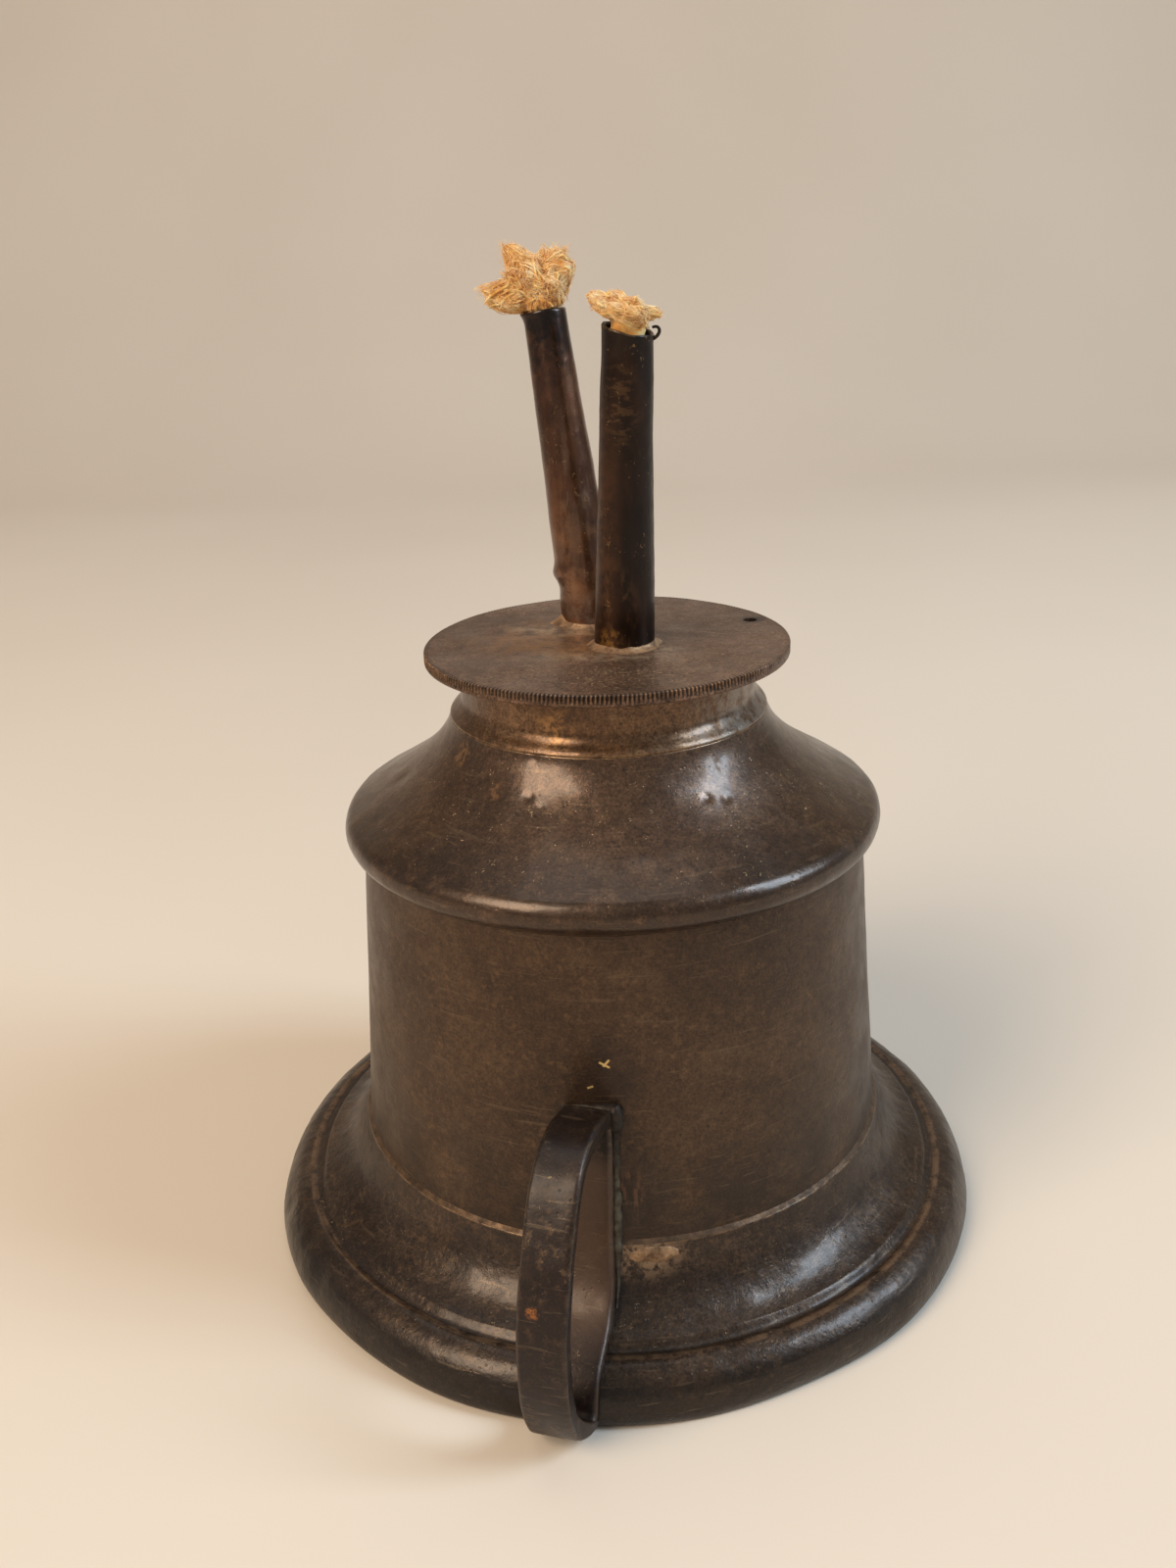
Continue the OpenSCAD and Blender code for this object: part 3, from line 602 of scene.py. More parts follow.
front_skin = patina("front_tube_patina", linear(17, 10, 7), linear(32, 19, 12), linear(58, 35, 22), [
    (SOOT, 99, 112, 0.6, 3.0)], (0.3, 0.44), gloss=0.06, marks=[
    (TAN, scrape_and_sheen((2.2, -6.8, 102.5), 4.2, (1.5, 0.6, 0.7), 1.2), 0.4), (TAN, scrape_and_sheen((0.4, -5.6, 80), 6, (1.4, 0.6, 0.8), 0.22), 0.5),
    # painted light: the tube's left side warmer and lighter, where the left lamp lights it
    (linear(86, 54, 36), patch((-1.2, -5.0, 91), 14, 0.9, (3.6, 1, 0.55), 1.3, 0.26, 0.6), 0.85),
    # painted reflection: a golden glow at the tube's foot on its left front
    (linear(150, 110, 56), patch((0.2, -4.9, 76.4), 2.4, 0.7, (1, 1, 1.4), 1.0), 0.7)])
back_skin = patina("back_tube_patina", linear(58, 36, 25), linear(92, 59, 40), linear(134, 92, 63), [
    (SOOT, 90, 106, 0.9, 14.0), (linear(150, 100, 58), 94, 78, 0.5, 3.0), (linear(128, 116, 106), 86, 75, 0.4, 1.5)],
    (0.2, 0.32), 0.05, 0.3, [
    # painted highlight: a pale stripe up the tube's front, standing in for its long reflection
    (linear(140, 112, 92), scrape_and_sheen((-3.6, 8.2, 90), 12, (3.2, 0.3, 0.8), 0.1), 0.3),
    (linear(20, 18, 22), scrape_and_sheen((-7.4, 11.5, 108), 5, (0.7, 0.5, 0.8), 0.4), 0.7)])


def solder_material(name, dark, pale, top=None):
    """Rough solder. top is a colour and the heights that it fades in between."""
    p = Paint(name)
    colour = p.ramp(p.noise(1.4, 6, 0.7), (0.34, dark), (0.66, pale))
    if top:
        colour = add(p, colour, p.spread(p.z, top[1] * MM, top[2] * MM), 0.85, top[0])
    colour = add(p, colour, p.spread(p.cells(0.6), 0.2, 0.08), 0.4, linear(40, 30, 22))
    p.set(Base_Color=colour, Metallic=0.55, Roughness=p.spread(p.noise(0.9, 4), 0.3, 0.7, 0.42, 0.66))
    p.bump((p.noise(0.9, 5, 0.65), 0.12, 0.7), (p.noise(0.2, 3), 0.03, 0.6))
    return p.material


solder_pale = solder_material("solder_pale", linear(98, 72, 52), linear(178, 142, 106))
solder_dark = solder_material("solder_dark", linear(32, 26, 23), linear(84, 72, 60))
solder_green = solder_material("solder_green", linear(44, 37, 31), linear(100, 92, 76), (linear(36, 25, 19), 22, 28))
seam = solder_material("seam_solder", linear(56, 41, 29), linear(104, 79, 56))


def cotton_material():
    p = Paint("wick_cotton")
    colour = p.ramp(p.noise(1.3, 5, 0.6), (0.32, linear(214, 146, 68)), (0.52, linear(242, 196, 124)), (0.74, linear(252, 234, 192)))
    colour = add(p, colour, p.spread(p.noise(2.4, 4, 0.6), 0.5, 0.64), 0.6, linear(196, 122, 46))
    p.set(Base_Color=colour, Roughness=0.9, Sheen_Weight=0.3, Subsurface_Weight=0.35,
          Subsurface_Radius=(0.0014, 0.001, 0.0006), Subsurface_Scale=1.0, Specular_IOR_Level=0.25)
    p.bump((p.noise(0.25, 4, 0.7), 0.05, 0.8), (p.noise(0.8, 4, 0.6), 0.1, 0.6))
    return p.material


def leather_material():
    p = Paint("washer_leather")
    colour = p.ramp(p.noise(1.8, 6, 0.65), (0.3, linear(46, 30, 20)), (0.7, linear(96, 66, 42)))
    colour = add(p, colour, p.spread(p.cells(0.5), 0.3, 0.1), 0.4, linear(28, 18, 12))
    p.set(Base_Color=colour, Roughness=p.spread(p.noise(0.8, 4), 0.3, 0.7, 0.6, 0.85))
    p.bump((p.cells(0.45), 0.06, 0.7), (p.noise(0.15, 3), 0.02, 0.6))
    return p.material


cotton = cotton_material()
leather = leather_material()

# ---------------------------------------------------------------- foot
edge = np.vstack([oval([FOOT_R - EDGE_IN, EDGE_LOW], [EDGE_IN, EDGE_LOW], -90, 0, 8),
                  oval(EDGE_C, [EDGE_W, EDGE_H - EDGE_LOW], 0, 94, 40)[1:]])
edge_top = edge[-1]
skirt_low = edge_top + [-GROOVE_W, GROOVE_D]
skirt_top = np.array([WALL_LOW + LIP_W, JOINT_Z])
skirt = curve([skirt_low, skirt_low + [-3.6, 0.9], skirt_top + [0.8, -4.4], skirt_top], 40)
foot_out = np.vstack([edge[:-2], edge_top - [GROOVE_W / 2, 0.7 * GROOVE_D], skirt[1:]])

# How far the foot stands out or in, as direction, radial distance and width in degrees: all of it, then its edge only
LOBES = [(-152, 0.4, 12), (-116, 0.35, 14), (-70, -0.22, 18), (22, 0.3, 22), (75, -0.35, 18), (128, 0.3, 20)]
EDGE_LOBES = [(-63, -0.6, 14), (-171, 0.55, 10), (-11, 0.3, 12)]
FOOT_DENTS = [((-38.5, -20, 5.2), 1.5, 0.3), ((-39.9, -17.1, 4.4), 1.1, 0.25), ((-36.5, -25.0, 4.3), 1.7, 0.25),
              ((-42.5, -12, 3.5), 1.4, 0.3), ((30.5, -32.5, 4.2), 1.8, 0.15), ((17, -35.5, 7.6), 2.6, 0.2),
              ((41, 18, 3), 2.0, 0.35), ((-20, 36, 7), 3.5, 0.35), ((8, 43, 4.0), 1.6, 0.3)]


def lobes(a, table):
    return sum(d * np.exp(-(((a - at + 180) % 360 - 180) / w) ** 2) for at, d, w in table)


def out_of_round(p):
    """The foot's edge pushed out and in, fading to nothing at the wall."""
    a = np.degrees(np.arctan2(p[:, 1], p[:, 0]))
    r = np.hypot(p[:, 0], p[:, 1])
    push = lobes(a, LOBES) * np.clip((r - 34.0) / 7, 0, 1) ** 1.2
    push += lobes(a, EDGE_LOBES) * np.clip((4.5 - p[:, 2]) / 3.5, 0, 1) * (r > EDGE_C[0] - 0.5)
    q = p.copy()
    q[:, :2] *= (1 + push / np.maximum(r, 1))[:, None]
    return q


def age_foot(p, n, a):
    p = dented(out_of_round(p), n, FOOT_DENTS)
    up = np.clip((p[:, 2] - 0.4) / 1.5, 0, 1)[:, None]
    return p + n * up * (0.08 * layers(p, 6, 3)[:, None] + 0.03 * layers(p, 1.5, 9)[:, None])


under = skin(skirt, -FOOT_T)
under = under[(under[:, 0] > wall_i(LAP_Z) + 0.5) & (under[:, 1] < LAP_Z - 1.5)][::-1]
rest_in = EDGE_C[0] + 0.1 * EDGE_W
under = under[under[:, 0] < rest_in - 0.3]
foot_profile = np.vstack([foot_out, [[wall_o(JOINT_Z), JOINT_Z], [wall_o(LAP_Z), LAP_Z], [wall_i(LAP_Z), LAP_Z],
                                     [wall_i(LAP_Z), LAP_Z - 1.2]], under[::-1],
                          [[rest_in, edge_top[1] - FOOT_T - 0.4], [rest_in, 0]]])
lathe("foot_aged", refine(soften(foot_profile, 0.5), 0.5), 600, "lamp", ["foot"], foot_skin, age_foot)

# ---------------------------------------------------------------- font wall
WALL_DENTS = [((29.5, -9.8, 42.5), 4.5, 0.3), ((-30, 6, 36), 5, 0.25), ((8, 31, 28), 6, 0.35), ((31, 9, 22), 3, 0.2)]


def age_wall(p, n, a):
    p = dented(p, n, WALL_DENTS)
    inside = np.clip(np.minimum(p[:, 2] - JOINT_Z - 0.6, RIM_Z - 0.5 - p[:, 2]) / 2, 0, 1)[:, None]
    return p + n * inside * (0.08 * layers(p, 12, 5)[:, None] + 0.015 * layers(p, 2.5, 6)[:, None])


wall_profile = np.array([[wall_i(LAP_Z), LAP_Z], [wall_o(LAP_Z), LAP_Z], [wall_o(WALL_END), WALL_END], [wall_i(WALL_END), WALL_END]])
lathe("font_wall_aged", refine(wall_profile, 0.8), 320, "lamp", ["font_wall"], wall_skin, age_wall)

# ---------------------------------------------------------------- shoulder
roll = arc(ROLL_C, ROLL_R, ROLL_ON, -75, 40)
cove = curve([[NECK_R, NECK_Z], [NECK_R + 1.3, NECK_Z - 4.7], roll[0] + 2.5 * ROLL_R * direction(ROLL_ON + 90), roll[0]], 60)
SHOULDER_DENTS = [((-8.2, -17.2, 66.8), 0.6, 0.1), ((-8.9, -19.4, 63.1), 0.55, 0.14), ((-7.8, -20.7, 62.3), 0.5, 0.13),
                  ((10.4, -19.4, 62.4), 0.5, 0.13), ((12.4, -18.6, 61.9), 0.55, 0.14), ((11.9, -16, 64.9), 0.6, 0.09),
                  ((3, -26, 58.4), 1.2, 0.12), ((22, 12, 60), 1.5, 0.3), ((-14, 20, 61), 1.1, 0.25), ((-24, -4, 59.5), 1.4, 0.2)]


def age_shoulder(p, n, a):
    p = dented(p, n, SHOULDER_DENTS)
    free = np.clip((NECK_Z - 0.6 - p[:, 2]) / 2, 0, 1)[:, None] * np.clip((p[:, 2] - RIM_Z - 0.5) / 1, 0, 1)[:, None]
    return p + n * free * (0.07 * layers(p, 8, 15)[:, None] + 0.015 * layers(p, 1.8, 16)[:, None])


seat_z = NECK_Z - NECK_STEP
inner = skin(cove, SHOULDER_T)
inner = inner[(inner[:, 1] > WALL_END + 0.2) & (inner[:, 1] < seat_z - 0.6) & (inner[:, 0] > SPIGOT_R + SOLDER_LEG + 0.3)
              & (inner[:, 0] < wall_i(WALL_END) - 0.1)]
shoulder_profile = np.vstack([cove, roll[1:], [[wall_o(roll[-1][1]), roll[-1][1]], [wall_o(WALL_END), WALL_END],
                                           [wall_i(WALL_END), WALL_END]], inner[::-1],
                              [[SPIGOT_R + SOLDER_LEG + 0.1, seat_z], [SPIGOT_R, seat_z], [SPIGOT_R, NECK_Z]]])[::-1]
lathe("shoulder_aged", refine(soften(shoulder_profile, 0.12), 0.4), 560, "lamp", ["shoulder"],
      shoulder_skin, age_shoulder)


# ---------------------------------------------------------------- collar and screw plug, with one helical thread
def thread_wave(z, a):
    """Height of a rounded thread, 0 to 1, at a height and an angle."""
    s = (z / THREAD_P - a / (2 * math.pi)) % 1
    return np.clip(1.6 * (0.5 + 0.5 * np.cos(2 * math.pi * s)) - 0.3, 0, 1)


def threaded(p, a, r, grow, z0, z1):
    """Points of one radius moved out to the thread's form between two heights."""
    on = np.abs(np.hypot(p[:, 0], p[:, 1]) - r) < 0.02
    fade = np.clip(np.minimum(p[:, 2] - z0, z1 - p[:, 2]) / 0.5, 0, 1)
    k = 1 + np.where(on, grow * fade * thread_wave(p[:, 2], a), 0) / r
    q = p.copy()
    q[:, :2] *= k[:, None]
    return q


edge_z = NECK_Z + FLANGE_H
collar_profile = np.vstack([
    [[NECK_R, NECK_Z], [NECK_R, NECK_Z + 0.2]], curve([[NECK_R - 0.1, NECK_Z + 0.35], [NECK_R - 0.4, edge_z + 0.3],
                                                       [COLLAR_R + 0.1, edge_z + 0.7], [COLLAR_R, edge_z + 2 * COVE_R + 0.8]], 14),
    [[COLLAR_R, COLLAR_Z - 0.2], [COLLAR_R - 0.2, COLLAR_Z], [THREAD_R + THREAD_D, COLLAR_Z], [THREAD_R, COLLAR_Z - 0.5]],
    [[THREAD_R, z] for z in np.linspace(COLLAR_Z - 0.6, NECK_Z - SPIGOT_H + 0.2, 72)],
    [[THREAD_R, NECK_Z - SPIGOT_H], [SPIGOT_R, NECK_Z - SPIGOT_H], [SPIGOT_R, NECK_Z]]])


def age_collar(p, n, a):
    p = threaded(p, a, THREAD_R, THREAD_D, COLLAR_Z - 5.6, COLLAR_Z - 0.5)
    outside = (np.hypot(p[:, 0], p[:, 1]) > COLLAR_R - 0.05)[:, None]
    return p + n * outside * (0.03 * layers(p, 3, 25)[:, None] + 0.012 * noise(p * [0.02, 0.02, 1], 0.35, 26)[:, None])


lathe("collar_worn", refine(soften(collar_profile, 0.08), 0.35), 320, "lamp", ["collar"], collar_skin, age_collar)

core_r = PLUG_R - THREAD_D
plug_profile = np.vstack([
    [[core_r - PLUG_T, DISC_Z], [core_r - PLUG_T, DISC_Z - PLUG_H], [core_r, DISC_Z - PLUG_H]],
    [[core_r, z] for z in np.linspace(DISC_Z - PLUG_H + 0.1, DISC_Z - 0.1, 60)], [[core_r, DISC_Z]]])
lathe("screw_plug_worn", refine(soften(plug_profile, 0.12), 1.0), 280, "burner", ["screw_plug"], inner_skin,
      lambda p, n, a: threaded(p, a, core_r, THREAD_D, DISC_Z - 5.5, DISC_Z - 0.4))

# ---------------------------------------------------------------- burner disc
TEETH = round(math.pi * 2 * DISC_R / MILL_P)
PER_TOOTH = 4
# Worn stretches of the milling, as direction, half width in degrees and how much is left
WORN_MILLING = [(-15, 26, 0.25), (70, 30, 0.4), (165, 18, 0.5)]


def tooth_depth(a):
    left = np.full(len(a), 1.0)
    for at, half, rest in WORN_MILLING:
        d = np.abs((np.degrees(a) - at + 180) % 360 - 180)
        left *= 1 - (1 - rest) * np.clip(1.6 - d / half, 0, 1)
    return MILL_D * left * (1 + 0.15 * np.sin(7 * a + 1) + 0.1 * np.sin(23 * a))


def milled(z):
    """The milling is cut into the upper part of the edge and runs out below."""
    return np.clip((z - DISC_Z - 0.15 * DISC_T) / (0.5 * DISC_T), 0, 1)


def burner_disc():
    """The disc as rings of points: coarse across its faces, four points a tooth at its edge."""
    many = TEETH * PER_TOOTH
    bevel = soften(np.array([[20.6, DISC_Z], [DISC_R, DISC_Z], [DISC_R, TOP_Z], [20.6, TOP_Z]]), 0.2, closed=False, n=4)
    side = refine(bevel, 0.3, closed=False)
    flat = np.linspace(0.7, 20.2, 26)
    rows = [(r, DISC_Z, TEETH) for r in flat[::2]] + [(r, z, many) for r, z in side] + [(r, TOP_Z, TEETH) for r in flat[::-1]]
    points, faces, first, starts = [], [], 1, []
    points.append(np.array([[0, 0, DISC_Z]]))
    for r, z, n in rows:
        a = np.linspace(0, 2 * math.pi, n, endpoint=False)
        cut = tooth_depth(a) * (0.5 - 0.5 * np.cos(TEETH * a)) * np.clip((r - 20.9) / 0.4, 0, 1) * milled(z)
        rr = r - cut
        points.append(np.c_[rr * np.cos(a), rr * np.sin(a), np.full(n, z)])
        starts.append(first)
        first += n
    points.append(np.array([[0, 0, TOP_Z]]))
    for (r0, z0, n0), (r1, z1, n1), s0, s1 in zip(rows, rows[1:], starts, starts[1:]):
        if n0 == n1:
            i = np.arange(n0)
            j = (i + 1) % n0
            faces += np.c_[s0 + i, s0 + j, s1 + j, s1 + i].tolist()
            continue
        few, lots = (s0, s1) if n0 < n1 else (s1, s0)
        for i in range(TEETH):
            a, b = few + i, few + (i + 1) % TEETH
            m = [lots + (PER_TOOTH * i + k) % many for k in range(PER_TOOTH + 1)]
            fan = [[a, m[1], m[0]], [a, m[2], m[1]], [a, b, m[2]], [b, m[3], m[2]], [b, m[4], m[3]]]
            faces += fan if n0 < n1 else [f[::-1] for f in fan]
    for i in range(TEETH):
        j = (i + 1) % TEETH
        faces += [[0, 1 + j, 1 + i], [first, starts[-1] + i, starts[-1] + j]]
    p = np.vstack(points)
    top = (p[:, 2] > TOP_Z - 0.5)
    p[:, 2] += np.where(top, 0.05 * layers(p, 9, 31) + 0.012 * layers(p, 2, 33), 0)
    scuffs = [((14, -9, TOP_Z), 1.4, 0.12), ((-9, -13, TOP_Z), 1.8, 0.1), ((4, 15, TOP_Z), 2.2, 0.12), ((17, 3, TOP_Z), 1, 0.1)]
    p = dented(p, np.array([[0, 0, 1.0]]) * top[:, None], scuffs)
    a = np.arctan2(p[:, 1], p[:, 0])
    ridge = tooth_depth(a) / MILL_D * (3.4 - 9.0 * (0.5 - 0.5 * np.cos(TEETH * a)))
    wear = np.clip((np.hypot(p[:, 0], p[:, 1]) - 20.8) / 0.3, 0, 1) * ridge * milled(p[:, 2])
    return piece("burner_disc_milled", p, faces, "burner", ["burner_disc"], disc_skin, 40, wear)


def bored(obj, cutters):
    """Cuts closed shapes out of a piece."""
    for points, faces in cutters:
        mesh = bpy.data.meshes.new("cutter")
        mesh.from_pydata((points * MM).tolist(), [], faces)
        tool = bpy.data.objects.new("cutter", mesh)
        bpy.context.scene.collection.objects.link(tool)
        cut = obj.modifiers.new("cut", "BOOLEAN")
        cut.operation, cut.solver, cut.object = "DIFFERENCE", "EXACT", tool
        bpy.context.view_layer.update()
        result = bpy.data.meshes.new_from_object(obj.evaluated_get(bpy.context.evaluated_depsgraph_get()))
        obj.modifiers.clear()
        obj.data = result
        bpy.data.objects.remove(tool)
    obj.data.set_sharp_from_angle(angle=math.radians(40))


class Tube:
    """A wick tube's own frame: s along its axis from the disc's top, then a direction round it."""

    def __init__(self, at, lean, turn, r0, r1, length):
        self.at, self.r0, self.r1, self.length = np.array([*at, TOP_Z]), r0, r1, length
        out = np.array([*direction(turn), 0])
        up = np.array([0, 0, 1.0])
        le = math.radians(lean)
        self.axis = math.cos(le) * up + math.sin(le) * out
        self.u = math.cos(le) * out - math.sin(le) * up
        self.v = np.cross(self.axis, self.u)

    def radius(self, s):
        return self.r0 + (self.r1 - self.r0) * s / self.length

    def place(self, s, a, r):
        s, a, r = np.broadcast_arrays(s, a, r)
        return (self.at + s[..., None] * self.axis + (r * np.cos(a))[..., None] * self.u
                + (r * np.sin(a))[..., None] * self.v)

    def toward(self, degrees):
        """The angle round the tube that faces a direction in the lamp's frame."""
        d = np.array([*direction(degrees), 0])
        return math.atan2(d @ self.v, d @ self.u)


front = Tube((2.1, -1.9), 4.5, -64, 3.53, 2.74, 35.6)
back = Tube((-1.7, 9), 9.1, 138, 3.65, 2.5, 36.9)
disc = burner_disc()
cutters = []
for tube in (front, back):
    ends = np.array([tube.at - 4 * tube.axis, tube.at + 3 * tube.axis])
    cutters.append(sweep(ends, np.array([tube.radius(-4), tube.radius(3)]), 72))
chain = np.array([*(CHAIN_AT * direction(CHAIN_DIR)), 0])
cutters.append(sweep(np.array([chain + [0, 0, DISC_Z - 1], chain + [0, 0, TOP_Z + 1]]), CHAIN_R, 40))
bored(disc, cutters)


# ---------------------------------------------------------------- wick tubes
def tube_piece(name, tube, node, material, rim, lip, bumps, seed):
    """A tube of thin sheet. rim(a) raises or lowers its mouth, lip(a) turns the mouth out, and bumps
    are distance up the tube, direction round it, length, width in radians and height."""
    n = 96
    a = np.linspace(0, 2 * math.pi, n, endpoint=False)
    rows, wear = [], []
    stations = np.r_[np.linspace(-TUBE_UNDER, tube.length - 1.5, 90), np.linspace(tube.length - 1.4, tube.length, 10)]
    for side in (1, -1):
        for s in stations if side > 0 else stations[::-1]:
            share = (s + TUBE_UNDER) / (tube.length + TUBE_UNDER)
            at = s + rim(a) * share**8
            top = np.clip((s - tube.length + 1.5) / 1.5, 0, 1) ** 2
            r = tube.radius(at) + lip(a) * top - (TUBE_T if side < 0 else 0)
            if s > tube.length - 0.01:
                r = r - side * 0.12
            q = tube.place(at, a, r)
            visible = np.clip((s - 0.7) / 1.5, 0, 1)
            r = r + visible * (0.05 * layers(q, 5, seed) + 0.02 * layers(q, 1.2, seed + 3))
            for bs, ba, length, width, height in bumps:
                d = np.angle(np.exp(1j * (a - ba)))
                r = r + height * np.exp(-((at - bs) / length) ** 2 - (d / width) ** 2)
            rows.append(tube.place(at, a, r))
            wear.append(np.full(n, 3.0 * np.clip((s - tube.length + 0.5) / 0.5, 0, 1)))
    return piece(name, np.vstack(rows), grid_faces(len(rows), n), "burner", [node], material, 45, np.hstack(wear))


fl, fb = front.toward(0), front.toward(-90)
bl = back.toward(180)


MOUTH_SLOPE, MOUTH_DIR = 0.2, -25


def lobe(a, at, width):
    return np.exp(-(np.angle(np.exp(1j * (a - at))) / width) ** 2)


tube_piece("front_tube_aged", front, "front_tube", front_skin,
           lambda a: -0.4 - MOUTH_SLOPE * front.r1 * np.cos(a - front.toward(MOUTH_DIR)) + 0.05 * np.sin(5 * a),
           lambda a: 0.05 + 0.1 * lobe(a, front.toward(-15), 0.4), [(9, fb + 0.6, 2.5, 0.5, -0.12), (24, fl, 4, 0.6, -0.1)], 41)
tube_piece("back_tube_aged", back, "back_tube", back_skin,
           lambda a: 0.1 * np.sin(3 * a + 1) - 0.15 * lobe(a, back.toward(-90), 0.8),
           lambda a: 0.03 + 0.45 * lobe(a, bl, 0.6),
           [(6.6, bl, 0.9, 0.6, 0.4), (4.6, bl, 1.0, 0.7, -0.2), (18, back.toward(-60), 5, 0.5, -0.12)], 47)


def lip_curl():
    """A bit of the front tube's lip that is torn and curled outwards."""
    side = front.toward(-12)
    path = [front.place(np.array(front.length + s), np.array(side), np.array(front.r1 + r))
            for s, r in ((-1.5, -0.25), (-1.1, 1.0), (0.2, 0.9), (-0.25, -0.1))]
    path = spaced(curve(path, 24), 18)
    points, faces = sweep(path, 0.2 - 0.06 * np.linspace(0, 1, 18) ** 2, 12)
    piece("front_tube_curl", points, faces, "burner", (), front_skin, 60, np.full(len(points), 1.5))


lip_curl()


# ---------------------------------------------------------------- solder round the tubes' feet
def tube_solder(name, tube, node, wide, tall, seed, lumps=()):
    """A lumpy low cone on the disc round a tube."""
    n = 120
    a = np.linspace(0, 2 * math.pi, n, endpoint=False)
    centre = tube.at
    shape = [(0.0, 0.9, -0.25), (1.0, 0.0, -0.25), (1.0, 0.0, 0.0), (0.85, 0.05, 0.06), (0.65, 0.1, 0.2), (0.42, 0.1, 0.42),
             (0.22, 0.1, 0.72), (0.1, 0.0, 0.95), (0.0, 0.0, 1.0), (0.0, 0.9, 0.9)]
    rows = []
    for out, inward, up in shape:
        r = tube.r0 - 0.05 + wide * out - 0.25 * inward
        q = centre + np.c_[r * np.cos(a), r * np.sin(a), 0 * a]
        grow = 1 + 0.3 * layers(q * [1, 1, 0], 1.8, seed)
        for at, width, extra in lumps:
            grow = grow + extra * lobe(a, math.radians(at), math.radians(width))
        r = tube.r0 - 0.05 + wide * out * grow - 0.25 * inward
        z = tall * up * (grow if up > 0 else 1)
        rows.append(centre + np.c_[r * np.cos(a), r * np.sin(a), z * np.ones(n)])
    return piece(name, np.vstack(rows), grid_faces(len(rows), n), "burner", [node], solder_pale, 60)


tube_solder("front_tube_solder_lumpy", front, "front_tube_solder", 0.9, 0.55, 51)
tube_solder("back_tube_solder_lumpy", back, "back_tube_solder", 0.9, 0.55, 57, [(185, 16, 1.0)])


# ---------------------------------------------------------------- finger ring
def in_ring_plane(p, side=0.0):
    """Points of the ring's own upright plane, as distance out and height, in the lamp's frame."""
    out, across = direction(RING_DIR), direction(RING_DIR + 90)
    p = np.asarray(p, float)
    side = np.broadcast_to(side, len(p))
    xy = RING_AT + p[:, :1] * out + side[:, None] * across
    return np.c_[xy, p[:, 1]]


tip = np.array([RING_FAR * 0.74, RING_TOP - 2.2])
far = np.array([RING_FAR, RING_TOP * 0.43])
ring_curve = np.vstack([
    curve([[-1, RING_TOP - 0.4], [4.5, RING_TOP + 1.2 * RING_RISE], [tip[0] - 3.6, RING_TOP + 1.5 * RING_RISE], tip], 40),
    curve([tip, tip + [3.6, -5.8], far + [0, 5.2], far], 30)[1:],
    curve([far, far - [0, 5.6], [RING_FAR - 1.8, RING_LOW], [RING_FAR - 6, RING_LOW]], 40)[1:]])


def lamp_line(t, z1):
    return np.vstack([skin(edge, t), skin(skirt, t), [[wall_o(JOINT_Z + 1.5) + t, JOINT_Z + 1.5], [wall_o(z1) + t, z1]]]) - [RING_R0, 0]


def strap_half(z):
    """Half the width of the strap that lies on the lamp, at a height."""
    return np.interp(z, [0.6 * EDGE_H, JOINT_Z + 2], [RING_FOOT_W / 2, RING_W / 2])


back_line = lamp_line(RING_BACK_T, RING_TOP + 3)
order = np.argsort(back_line[:, 1])
hole_front = skin(ring_curve, RING_T)
hole_front = hole_front[hole_front[:, 0] > np.interp(hole_front[:, 1], back_line[order, 1], back_line[order, 0]) + 0.3]
hole_top, hole_low = hole_front[0][1], hole_front[-1][1]
hole_back = back_line[(back_line[:, 1] > hole_low + 0.2) & (back_line[:, 1] < hole_top - 0.4)]
hole_back = spaced(np.vstack([hole_back, [wall_o(hole_top) + RING_BACK_T - RING_R0, hole_top - 0.3]]), 90)
for _ in range(60):
    hole_back[1:-1] = 0.5 * hole_back[1:-1] + 0.25 * (hole_back[2:] + hole_back[:-2])


def rounded_box(a, b, r, n=6, m=8):
    """A box's outline with rounded corners and points along its sides, going round from (a, -b)."""
    out = []
    for (x, y), start in zip(((a, b), (-a, b), (-a, -b), (a, -b)), (0, 90, 180, 270)):
        out.append(arc((x - math.copysign(r, x), y - math.copysign(r, y)), r, start, start + 90, n))
    out.append(out[0][:1])
    sides = [np.linspace(p[-1], q[0], m + 2)[1:-1] for p, q in zip(out, out[1:])]
    return np.vstack([v for pair in zip(out, sides) for v in pair])


def finger_ring():
    """The strap as one closed sweep: round the hoop, then up the side that lies on the lamp."""
    sunk = lamp_line(-0.25, RING_TOP + 0.4)
    sunk = sunk[sunk[:, 1] > RING_LOW + 0.3]
    front_out = ring_curve[ring_curve[:, 0] > sunk[-1][0] + 0.1]
    outer = [spaced(np.vstack([front_out, sunk[:1]]), 260), spaced(sunk, 150)[1:-1]]
    inner = [spaced(hole_front, 260), spaced(np.vstack([hole_front[-1:], hole_back, hole_front[:1]]), 150)[1:-1]]
    outer, inner = np.vstack(outer), np.vstack(inner)
    rows, wear = [], []
    for k, (o, i) in enumerate(zip(outer, inner)):
        half, middle = 0.5 * np.linalg.norm(o - i), (o + i) / 2
        width = strap_half(middle[1]) if k >= 260 else RING_W / 2
        if k < 260 and middle[1] < 8:
            low = np.clip((RING_FAR - 2.5 - middle[0]) / 4, 0, 1)
            width += (RING_FOOT_W - RING_W) / 2 * low * low * (3 - 2 * low)
        box = rounded_box(half, width, min(0.55, 0.42 * 2 * half))
        flat = middle + box[:, :1] * (o - i) / (2 * half)
        rows.append(in_ring_plane(flat, box[:, 1]))
        wear.append(np.abs(bending(box)))
    p = np.vstack(rows)
    p = p + 0.07 * np.c_[layers(p, 5, 61), layers(p, 5, 64), 0.5 * layers(p, 5, 67)] + 0.02 * np.c_[
        layers(p, 1.3, 71), layers(p, 1.3, 74), layers(p, 1.3, 77)]
    return piece("finger_ring_aged", p, grid_faces(len(rows), len(rows[0])), "lamp", ["finger_ring"],
                 ring_skin, 50, np.hstack(wear))


finger_ring()


